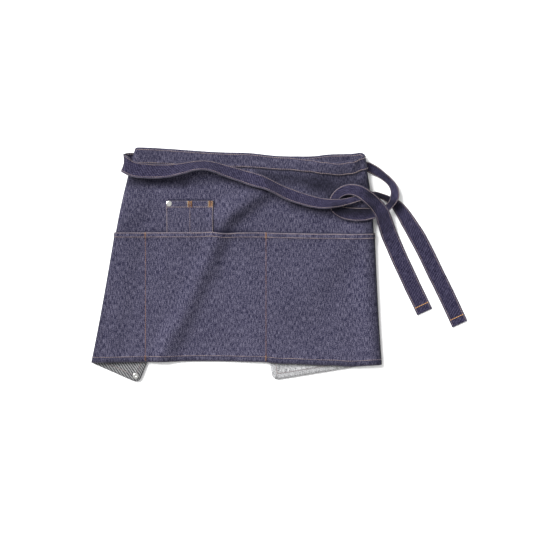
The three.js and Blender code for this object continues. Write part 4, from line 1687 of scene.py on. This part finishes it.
@dataclass
class Seam:
    """One sewn line on a surface: its corners on the cut cloth, and how it is sewn."""

    thread: Thread
    corners: Sequence[tuple[float, float]]
    lift: float
    pitch: float = 0.0032
    radius: float = 0.0004
    dips: bool = True

    def samples(self) -> tuple[Array, Array, Array]:
        """Places along the seam with the thread's height over the cloth.

        Returns:
            u, v and height.
        """
        corners = np.array(self.corners, dtype=float)
        runs = np.concatenate([[0.0], np.cumsum(np.linalg.norm(np.diff(corners, axis=0), axis=1))])
        count = max(int(round(runs[-1] / self.pitch)), 1) * STITCH_STEPS
        at = np.linspace(0.0, runs[-1], count + 1) if self.dips else runs
        u = np.interp(at, runs, corners[:, 0])
        v = np.interp(at, runs, corners[:, 1])
        hole = np.arange(len(at)) % STITCH_STEPS == 0
        rise = np.where(hole, STITCH_DIP, STITCH_CROWN) if self.dips else np.zeros(len(at))
        return u, v, rise * (-self.radius if self.lift < 0 else self.radius)


@dataclass
class Sewing:
    """All the thread of one kind on one surface, as one piece."""

    name: str
    surface: Surface
    seams: Sequence[Seam]
    sides: int = 4

    def build(self, material: bpy.types.Material) -> bpy.types.Object:
        """Make the piece.

        Args:
            material: The thread's material.

        Returns:
            The piece.
        """
        whole = bmesh.new()
        for seam in self.seams:
            self.sew(whole, seam)
        bmesh.ops.remove_doubles(whole, verts=whole.verts[:], dist=1e-6)
        bmesh.ops.recalc_face_normals(whole, faces=whole.faces[:])
        return finished(self.name, whole, [material])

    def sew(self, whole: bmesh.types.BMesh, seam: Seam) -> None:
        """Lay one seam's thread as a tube that dips through the cloth at every hole.

        Args:
            whole: The mesh that takes the thread.
            seam: The seam.
        """
        u, v, rise = seam.samples()
        centres = self.surface.place(u, v, seam.lift + rise)
        centres[:, 2] = np.maximum(centres[:, 2], seam.radius)
        normals = self.surface.normal(u, v)
        tangent = unit(np.gradient(centres, axis=0))
        aside = unit(np.cross(tangent, normals))
        radii = np.full(len(u), seam.radius)
        radii[[0, -1]] = 0.0
        before = len(whole.verts)
        bmesh.ops.create_grid(whole, x_segments=len(u) - 1, y_segments=self.sides, size=0.5)
        whole.verts.ensure_lookup_table()
        for vert in whole.verts[before:]:
            ring = round((vert.co.x + 0.5) * (len(u) - 1))
            turn = math.tau * round((vert.co.y + 0.5) * self.sides) / self.sides
            ray = aside[ring] * math.cos(turn) + normals[ring] * math.sin(turn)
            vert.co = centres[ring] + ray * radii[ring]


@dataclass(frozen=True)
class Tack:
    """A bar tack: a close zigzag of bare thread between two heights."""

    thread: Thread
    width: float
    turns: int
    radius: float

    def seam(self, u: float, low: float, high: float, lift: float) -> Seam:
        """Sew the tack at a place across the cloth.

        Args:
            u: Where it is across the cloth.
            low: Its lower end.
            high: Its upper end.
            lift: Its height over the cloth's middle.

        Returns:
            The seam.
        """
        sway = (-self.width / 2, self.width / 2)
        path = [(u + sway[k % 2], low + (high - low) * k / self.turns) for k in range(self.turns + 1)]
        return Seam(self.thread, path, lift, radius=self.radius, dips=False)


DIVIDER_TACK = Tack(Thread.COPPER, 0.0022, 26, 0.0004)
PEN_TACK = Tack(Thread.COPPER, 0.0026, 22, 0.0006)
PALE_TACK = Tack(Thread.CREAM, 0.0014, 22, 0.0005)


@dataclass
class PocketFace:
    """A pocket's outer face, thicker at its turned top hem, which stands off the panel where it gapes."""

    cloth: FoldedCloth
    top: float
    gapes: bool
    hem_rise: float = 0.0007
    hem_from: float = 0.0098
    hem_full: float = 0.0058

    def place(self, u: Array, v: Array, offset: Array | float = 0.0) -> Array:
        """Points of the pocket's face, raised by the offset from the cloth's middle.

        Args:
            u: Places across the cut cloth.
            v: Places up the cut cloth.
            offset: How far outside the cloth's middle.

        Returns:
            The points.
        """
        hem = self.hem_rise * smooth(self.top - self.hem_from, self.top - self.hem_full, v)
        gape = self.cloth.gape_at(u, v) if self.gapes else 0.0
        points = self.cloth.place(u, v, gape + hem + offset)
        points[:, 2] = np.maximum(points[:, 2], 0.0)
        return points

    def normal(self, u: Array, v: Array) -> Array:
        """The outward direction of the face."""
        return self.cloth.normal(u, v)


@dataclass
class Body:
    """The apron's body: the panel, its waistband and its pockets."""

    cloth: FoldedCloth
    grid: ClothGrid
    effects: Effects
    band_round: int = 8

    def wide(self, rows: int, lay: Callable[[Array, Array], Array]) -> bmesh.types.BMesh:
        """Lay a sheet that is as wide as the cloth, from the hem up, with its lower corners drawn in.

        Args:
            rows: Steps up.
            lay: Gives the points at places of the cut cloth.

        Returns:
            The mesh.
        """
        columns = self.grid.steps_to(Across.RIGHT_EDGE)

        def spot(across: Array, up: Array) -> tuple[Array, Array, Array]:
            """Give each point of the grid its place.

            Args:
                across: The grid's shares across.
                up: The grid's shares up.

            Returns:
                u, v and the points.
            """
            v = self.grid.v_at(np.rint(up * rows))
            u, v = self.cloth.rounded(self.grid.u_at(np.rint(across * columns), v), v)
            return u, v, lay(u, v)

        return laid_grid(columns, rows, spot)

    def panel(self) -> bpy.types.Object:
        """Make the panel, with its hem turned behind.

        Returns:
            The piece.
        """
        cloth = self.cloth
        mesh = self.wide(self.grid.steps_to(Up.PANEL_TOP), lambda u, v: cloth.place(u, v, cloth.wall / 2))
        sheet = Sheet(-cloth.half_width, cloth.half_width, 0.0, 1.0, 0.0085)
        # Painted shade above the pen pocket's mouth, the wide pocket's middle mouth and the whole pocket top
        # line.
        painted_mouth_shades = (
            MouthShade(cloth.pen_left, cloth.pen_right, cloth.pen_top, 0.0042, 0.004, 0.85),
            MouthShade(-cloth.divider_reach, 0.0, cloth.pocket_height, 0.009, 0.06, 0.75),
            MouthShade(-cloth.half_width, cloth.half_width, cloth.pocket_height, 0.0026, 0.004, 0.5),
        )
        outside = DenimFinish("panel_denim", painted_mouth_shades=painted_mouth_shades).build(self.effects, sheet)
        inside = PANEL_INNER_FACE.build(self.effects, sheet)
        piece = shaded(finished("panel_cloth", mesh, [outside, inside]), cloth, cloth.painted_shade_lines)
        hem = piece.vertex_groups.new(name="hem")
        layer = piece.data.uv_layers["cut"].uv
        for loop in piece.data.loops:
            u, v = layer[loop.index].vector
            hem.add([loop.vertex_index], float(cloth.hem_at(np.array([u]), np.array([v]))[0]), "REPLACE")
        solid = thicken(piece, cloth.wall + cloth.hem_extra, inner_material=1)
        solid.vertex_group = "hem"
        solid.thickness_vertex_group = cloth.wall / (cloth.wall + cloth.hem_extra)
        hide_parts("panel")
        return piece

    def waistband(self) -> bpy.types.Object:
        """Make the waistband, folded over the panel's top edge.

        Returns:
            The piece.
        """
        cloth, grid = self.cloth, self.grid
        columns = grid.steps_to(Across.RIGHT_EDGE)
        low = grid.steps_to(Up.BAND_LOW)
        flat = grid.steps_to(Up.PANEL_TOP) - low
        rows = 2 * flat + self.band_round
        stand = cloth.leaf + cloth.wall / 2

        def spot(across: Array, up: Array) -> tuple[Array, Array, Array]:
            """Give each point of the grid its place.

            Args:
                across: The grid's shares across.
                up: The grid's shares up.

            Returns:
                u, v and the points.
            """
            row = np.rint(up * rows)
            angle = np.pi * np.clip(row - flat, 0, self.band_round) / self.band_round
            base = grid.v_at(low + np.minimum(np.minimum(row, flat), rows - row))
            u = grid.u_at(np.rint(across * columns), base)
            drawn = np.where(row <= flat, base, 2 * cloth.cut_height - base)
            return u, drawn, cloth.place(u, base + stand * np.sin(angle), stand * np.cos(angle))

        mesh = laid_grid(columns, rows, spot)
        top = 2 * cloth.cut_height - cloth.band_low
        sheet = Sheet(-cloth.half_width, cloth.half_width, cloth.band_low, top, 0.0022)
        piece = finished("waistband_cloth", mesh, [BAND_DENIM.build(self.effects, sheet)])
        shaded(piece, cloth, cloth.painted_shade_lines)
        thicken(piece, cloth.wall)
        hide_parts("waistband")
        return piece

    def main_pocket(self) -> bpy.types.Object:
        """Make the wide pocket, which gapes between its dividers.

        Returns:
            The piece.
        """
        cloth = self.cloth
        face = PocketFace(cloth, cloth.pocket_height, gapes=True)
        outer = cloth.face_over(cloth.pocket_wall)
        mesh = self.wide(self.grid.steps_to(Up.POCKET_TOP), lambda u, v: face.place(u, v, outer))
        sheet = Sheet(-cloth.half_width, cloth.half_width, 0.0, cloth.pocket_height, 0.0075)
        denim = DenimFinish("pocket_denim").build(self.effects, sheet)
        piece = shaded(finished("main_pocket_cloth", mesh, [denim]), cloth, cloth.painted_shade_lines)
        thicken(piece, cloth.pocket_wall)
        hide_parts("main_pocket")
        return piece

    def pen_pocket(self) -> bpy.types.Object:
        """Make the small pocket, whose lower end is under the wide one.

        Returns:
            The piece.
        """
        cloth, grid = self.cloth, self.grid
        first = grid.steps_to(Across.PEN_LEFT)
        columns = grid.steps_to(Across.PEN_RIGHT) - first
        low = grid.steps_to(Up.PEN_BOTTOM)
        rows = grid.steps_to(Up.PEN_TOP) - low
        face = PocketFace(cloth, cloth.pen_top, gapes=False)
        outer = cloth.face_over(cloth.wall)

        def spot(across: Array, up: Array) -> tuple[Array, Array, Array]:
            """Give each point of the grid its place.

            Args:
                across: The grid's shares across.
                up: The grid's shares up.

            Returns:
                u, v and the points.
            """
            v = grid.v_at(low + np.rint(up * rows))
            u = grid.u_at(first + np.rint(across * columns), v)
            return u, v, face.place(u, v, outer)

        mesh = laid_grid(columns, rows, spot)
        sheet = Sheet(cloth.pen_left, cloth.pen_right, cloth.pen_bottom, cloth.pen_top, 0.0)
        denim = DenimFinish("pen_pocket_denim").build(self.effects, sheet)
        piece = shaded(finished("pen_pocket_cloth", mesh, [denim]), cloth, cloth.painted_shade_lines)
        thicken(piece, cloth.wall)
        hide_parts("pen_pocket")
        return piece

    def pocket_seams(self) -> list[Sewing]:
        """List the thread on the wide pocket.

        Returns:
            The sewing, piece by piece.
        """
        cloth = self.cloth
        face = PocketFace(cloth, cloth.pocket_height, gapes=True)
        lift = cloth.face_over(cloth.pocket_wall)
        line, side, top = cloth.sewn_line, cloth.half_width - cloth.sewn_line, cloth.pocket_height
        tack = 0.011
        paths = [[(-side, top), (-side, line), (side, line), (side, top)]]
        paths += [[(-side, top - down), (side, top - down)] for down in (0.0072, 0.0013)]
        copper, rust = [], []
        for u in (-cloth.divider_reach, 0.0):
            rust.append(Seam(Thread.RUST, [(u, line), (u, top - 0.001)], lift))
            copper += [DIVIDER_TACK.seam(u, *ends, lift) for ends in ((top - tack, top), (0.002, tack))]
        return [
            Sewing("hem_stitches", face, [Seam(Thread.TAN, path, lift) for path in paths]),
            Sewing("divider_stitches", face, rust),
            Sewing("divider_bar_tacks", face, copper),
        ]

    def pen_seams(self) -> list[Sewing]:
        """List the thread on the small pocket.

        Returns:
            The sewing, piece by piece.
        """
        cloth = self.cloth
        face = PocketFace(cloth, cloth.pen_top, gapes=False)
        lift = cloth.face_over(cloth.wall)
        inset = 0.0012
        left, right = cloth.pen_left + inset, cloth.pen_right - inset
        centre = (left + right) / 2
        foot = cloth.pocket_height - 0.02
        hem = cloth.pen_top - 0.0098
        shorts = {left: 0.004, right: 0.002, centre: 0.002}
        lines = [[(u, foot), (u, cloth.pen_top - short)] for u, short in shorts.items()]
        ends = cloth.pen_top - 0.0108, cloth.pen_top - 0.0004
        orange = (centre - 0.0015, centre + 0.002, right - 0.0048, right - 0.0012)
        pale = (centre - 0.0036, right - 0.0068)
        tan = [Seam(Thread.TAN, path, lift) for path in (*lines, [(left, hem), (right, hem)])]
        return [
            Sewing("pen_pocket_stitches", face, tan),
            Sewing("pen_pocket_bar_tacks", face, [PEN_TACK.seam(u, *ends, lift) for u in orange]),
            Sewing("pen_pocket_pale_tacks", face, [PALE_TACK.seam(u, *ends, lift) for u in pale]),
        ]

    def cloth_seams(self) -> list[Sewing]:
        """List the thread on the band and on the panel.

        Returns:
            The sewing, piece by piece.
        """
        cloth = self.cloth
        half, line, low = cloth.half_width, cloth.sewn_line, cloth.band_low
        side, top = half - line, cloth.pocket_height
        face = cloth.wall / 2 + cloth.leaf
        band = []
        for lift in (face, -face):
            for v in (low + 0.0022, cloth.cut_height - 0.0034):
                band.append(Seam(Thread.TAN, [(-half, v), (half, v)], lift))
        upper = [Seam(Thread.TAN, [(u, top), (u, low)], cloth.wall / 2) for u in (-side, side)]
        turned = [(-side, low), (-side, line), (side, line), (side, low)]
        return [
            Sewing("waistband_stitches", cloth, band),
            Sewing("side_hem_stitches", cloth, upper),
            Sewing("inner_hem_stitches", cloth, [Seam(Thread.TAN, turned, -cloth.wall / 2 - cloth.hem_extra)]),
        ]


@dataclass
class Tie:
    """One tie with its stitching."""

    name: str
    lay: TieLay
    rests_on: tuple[str, ...]
    effects: Effects
    across_steps: int = 12
    step: float = 0.0025
    edge_round: float = 0.0007

    def piece(self) -> bpy.types.Object:
        """Make the tie.

        Returns:
            The piece.
        """
        lay = self.lay
        columns = int(lay.length / self.step)

        def spot(along: Array, over: Array) -> tuple[Array, Array, Array]:
            """Give each point of the grid its place.

            Args:
                along: The grid's shares along the tie.
                over: The grid's shares over its width.

            Returns:
                u, v and the points.
            """
            u = (over - 0.5) * lay.width
            v = along * lay.length
            return u, v, lay.place(u, v, lay.thick / 2)

        mesh = laid_grid(columns, self.across_steps, spot)
        sheet = Sheet(-lay.width / 2, lay.width / 2, -1.0, lay.length, 0.0)
        denim = replace(TIE_DENIM, name=f"{self.name}_denim").build(self.effects, sheet)
        piece = shaded(finished(f"{self.name}_cloth", mesh, [denim]), lay.cloth, TIE_PAINTED_SHADE_LINES)
        thicken(piece, lay.thick)
        rounding = piece.modifiers.new("folded edges", "BEVEL")
        rounding.width = self.edge_round
        rounding.segments = 2
        rounding.limit_method = "ANGLE"
        rounding.angle_limit = math.radians(60)
        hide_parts(self.name)
        return piece

    def seams(self) -> list[Sewing]:
        """List the thread on the tie: both long edges on both faces, and the turned end.

        Returns:
            The sewing.
        """
        lay = self.lay
        edge = lay.width / 2 - 0.0022
        end = lay.length - 0.0115
        short, past = 0.002, 0.001
        tan, copper = [], []
        for lift in (lay.thick / 2, -lay.thick / 2):
            for u in (-edge, edge):
                tan.append(Seam(Thread.TAN, [(u, short), (u, lay.length - short)], lift, radius=0.00032))
            copper.append(Seam(Thread.COPPER, [(-edge - past, end), (edge + past, end)], lift, radius=0.0005))
        return [
            Sewing(f"{self.name}_edge_stitches", lay, tan),
            Sewing(f"{self.name}_end_stitches", lay, copper),
        ]


@dataclass
class Rivet:
    """A domed rivet through the cloth, with its burr on the inner side."""

    name: str
    cloth: FoldedCloth
    spot: tuple[float, float]
    outside: float
    inside: float
    segments: int = 40

    def profile(self) -> list[tuple[float, float]]:
        """The rivet's outline from its inner centre to its outer centre.

        Returns:
            The radius and height of each corner.
        """
        cap = self.cloth.rivet_cap / 2
        thick = self.cloth.rivet_cap_thick
        gap = self.cloth.gap
        low = -self.inside - gap
        high = self.outside + gap
        shank = cap * 0.36
        return [
            (0.0, low - thick * 0.55),
            (shank * 0.7, low - thick * 0.6),
            (shank, low - thick * 1.0),
            (cap * 0.55, low - thick * 0.75),
            (cap * 0.8, low - thick * 0.9),
            (cap * 0.96, low - thick * 0.7),
            (cap, low - thick * 0.3),
            (cap * 0.96, low),
            (shank, low),
            (shank, high),
            (cap * 0.97, high),
            (cap, high + thick * 0.2),
            (cap * 0.95, high + thick * 0.5),
            (cap * 0.8, high + thick * 0.8),
            (cap * 0.55, high + thick * 0.98),
            (cap * 0.42, high + thick * 0.8),
            (cap * 0.3, high + thick * 0.85),
            (cap * 0.12, high + thick * 1.0),
            (0.0, high + thick * 1.0),
        ]

    def build(self, material: bpy.types.Material) -> bpy.types.Object:
        """Make the rivet.

        Args:
            material: Its metal.

        Returns:
            The piece.
        """
        mesh = bmesh.new()
        verts = [mesh.verts.new((radius, 0.0, height)) for radius, height in self.profile()]
        edges = [mesh.edges.new(pair) for pair in zip(verts, verts[1:])]
        turning = {"cent": (0, 0, 0), "axis": (0, 0, 1), "angle": math.tau, "steps": self.segments}
        bmesh.ops.spin(mesh, geom=verts + edges, use_merge=True, **turning)
        bmesh.ops.remove_doubles(mesh, verts=mesh.verts[:], dist=1e-6)
        bmesh.ops.recalc_face_normals(mesh, faces=mesh.faces[:])
        u, v = (np.array([value]) for value in self.spot)
        turn = Vector((0.0, 0.0, 1.0)).rotation_difference(Vector(self.cloth.normal(u, v)[0]))
        pose = Matrix.Translation(Vector(self.cloth.place(u, v)[0])) @ turn.to_matrix().to_4x4()
        bmesh.ops.transform(mesh, matrix=pose, verts=mesh.verts[:])
        piece = finished(f"{self.name}_metal", mesh, [material])
        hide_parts(self.name)
        return piece


@dataclass
class Studio:
    """The pale floor, the soft lights and the camera straight above."""

    aim: tuple[float, float] = (-0.01453, -0.00838)
    view_width: float = 0.8316
    lens: float = 85.0
    sensor: float = 36.0
    floor_reach: float = 6.0
    paper: Colour = (0.93, 0.93, 0.93, 1.0)
    sun_energy: float = 6.5
    sun_spread: float = 34.0
    sun_way: tuple[float, float, float] = (0.62, -0.52, -0.72)
    sky: float = 0.8

    def build(self) -> None:
        """Make the floor, the lights and the camera."""
        self.floor()
        self.lights()
        self.camera()
        bpy.context.scene.view_settings.view_transform = "Standard"

    def floor(self) -> None:
        """Make the pale surface."""
        mesh = bmesh.new()
        bmesh.ops.create_grid(mesh, x_segments=1, y_segments=1, size=self.floor_reach)
        data = bpy.data.meshes.new("floor")
        mesh.to_mesh(data)
        mesh.free()
        floor = bpy.data.objects.new("floor", data)
        bpy.context.collection.objects.link(floor)
        material, wiring, shader = new_material("floor_paper")
        wiring.feed_all(shader, {"Base Color": self.paper, "Roughness": 0.9, "Specular IOR Level": 0.1})
        data.materials.append(material)

    def lights(self) -> None:
        """Make the broad sun and the white sky."""
        data = bpy.data.lights.new("key", "SUN")
        data.energy = self.sun_energy
        data.angle = math.radians(self.sun_spread)
        lamp = bpy.data.objects.new("key", data)
        lamp.location = (-1.0, 1.0, 1.5)
        lamp.rotation_euler = Vector(self.sun_way).to_track_quat("-Z", "Y").to_euler()
        bpy.context.collection.objects.link(lamp)
        world = bpy.data.worlds.new("studio")
        world.use_nodes = True
        background = world.node_tree.nodes["Background"]
        Wiring(world.node_tree).feed_all(background, {"Color": (1.0, 1.0, 1.0, 1.0), "Strength": self.sky})
        bpy.context.scene.world = world

    def camera(self) -> None:
        """Make the camera, straight above."""
        camera = bpy.data.cameras.new("camera")
        camera.lens = self.lens
        camera.sensor_width = self.sensor
        view = bpy.data.objects.new("camera", camera)
        view.location = (*self.aim, self.view_width * self.lens / self.sensor)
        bpy.context.collection.objects.link(view)
        bpy.context.scene.camera = view


def log_piece(piece: bpy.types.Object) -> None:
    """Log one finished piece."""
    log.info("%s: %d faces", piece.name, len(piece.data.polygons))


def main() -> None:
    """Build the apron piece by piece."""
    logging.basicConfig(level=logging.INFO, format="%(name)s: %(message)s")
    Studio().build()
    cloth = FoldedCloth()
    effects = Effects()
    body = Body(cloth, ClothGrid(cloth), effects)
    for make in (body.panel, body.waistband, body.main_pocket, body.pen_pocket):
        log_piece(make())
    right = TieLay(cloth, cloth.right, RIGHT_TIE_ROUTE)
    left = TieLay(cloth, cloth.left, LEFT_TIE_ROUTE)
    ties = [
        Tie("right_tie", right, ("floor", "waistband_cloth", "panel_cloth"), effects),
        Tie("left_tie", left, ("floor", "panel_cloth", "right_tie_cloth"), effects),
    ]
    sewing = body.pocket_seams() + body.pen_seams() + body.cloth_seams()
    for tie in ties:
        log_piece(tie.piece())
        sewing += tie.seams()
    threads = {thread: thread.value.build() for thread in Thread}
    for work in sewing:
        log_piece(work.build(threads[work.seams[0].thread]))
    nickel = NickelFinish().build()
    pile = cloth.gap + cloth.wall
    half = cloth.wall / 2
    log_piece(Rivet("pen_pocket_rivet", cloth, cloth.pen_rivet, half + pile, half).build(nickel))
    log_piece(Rivet("flap_rivet", cloth, cloth.flap_rivet, half + pile, half + cloth.hem_extra).build(nickel))
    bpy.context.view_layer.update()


if __name__ == "__main__":
    main()
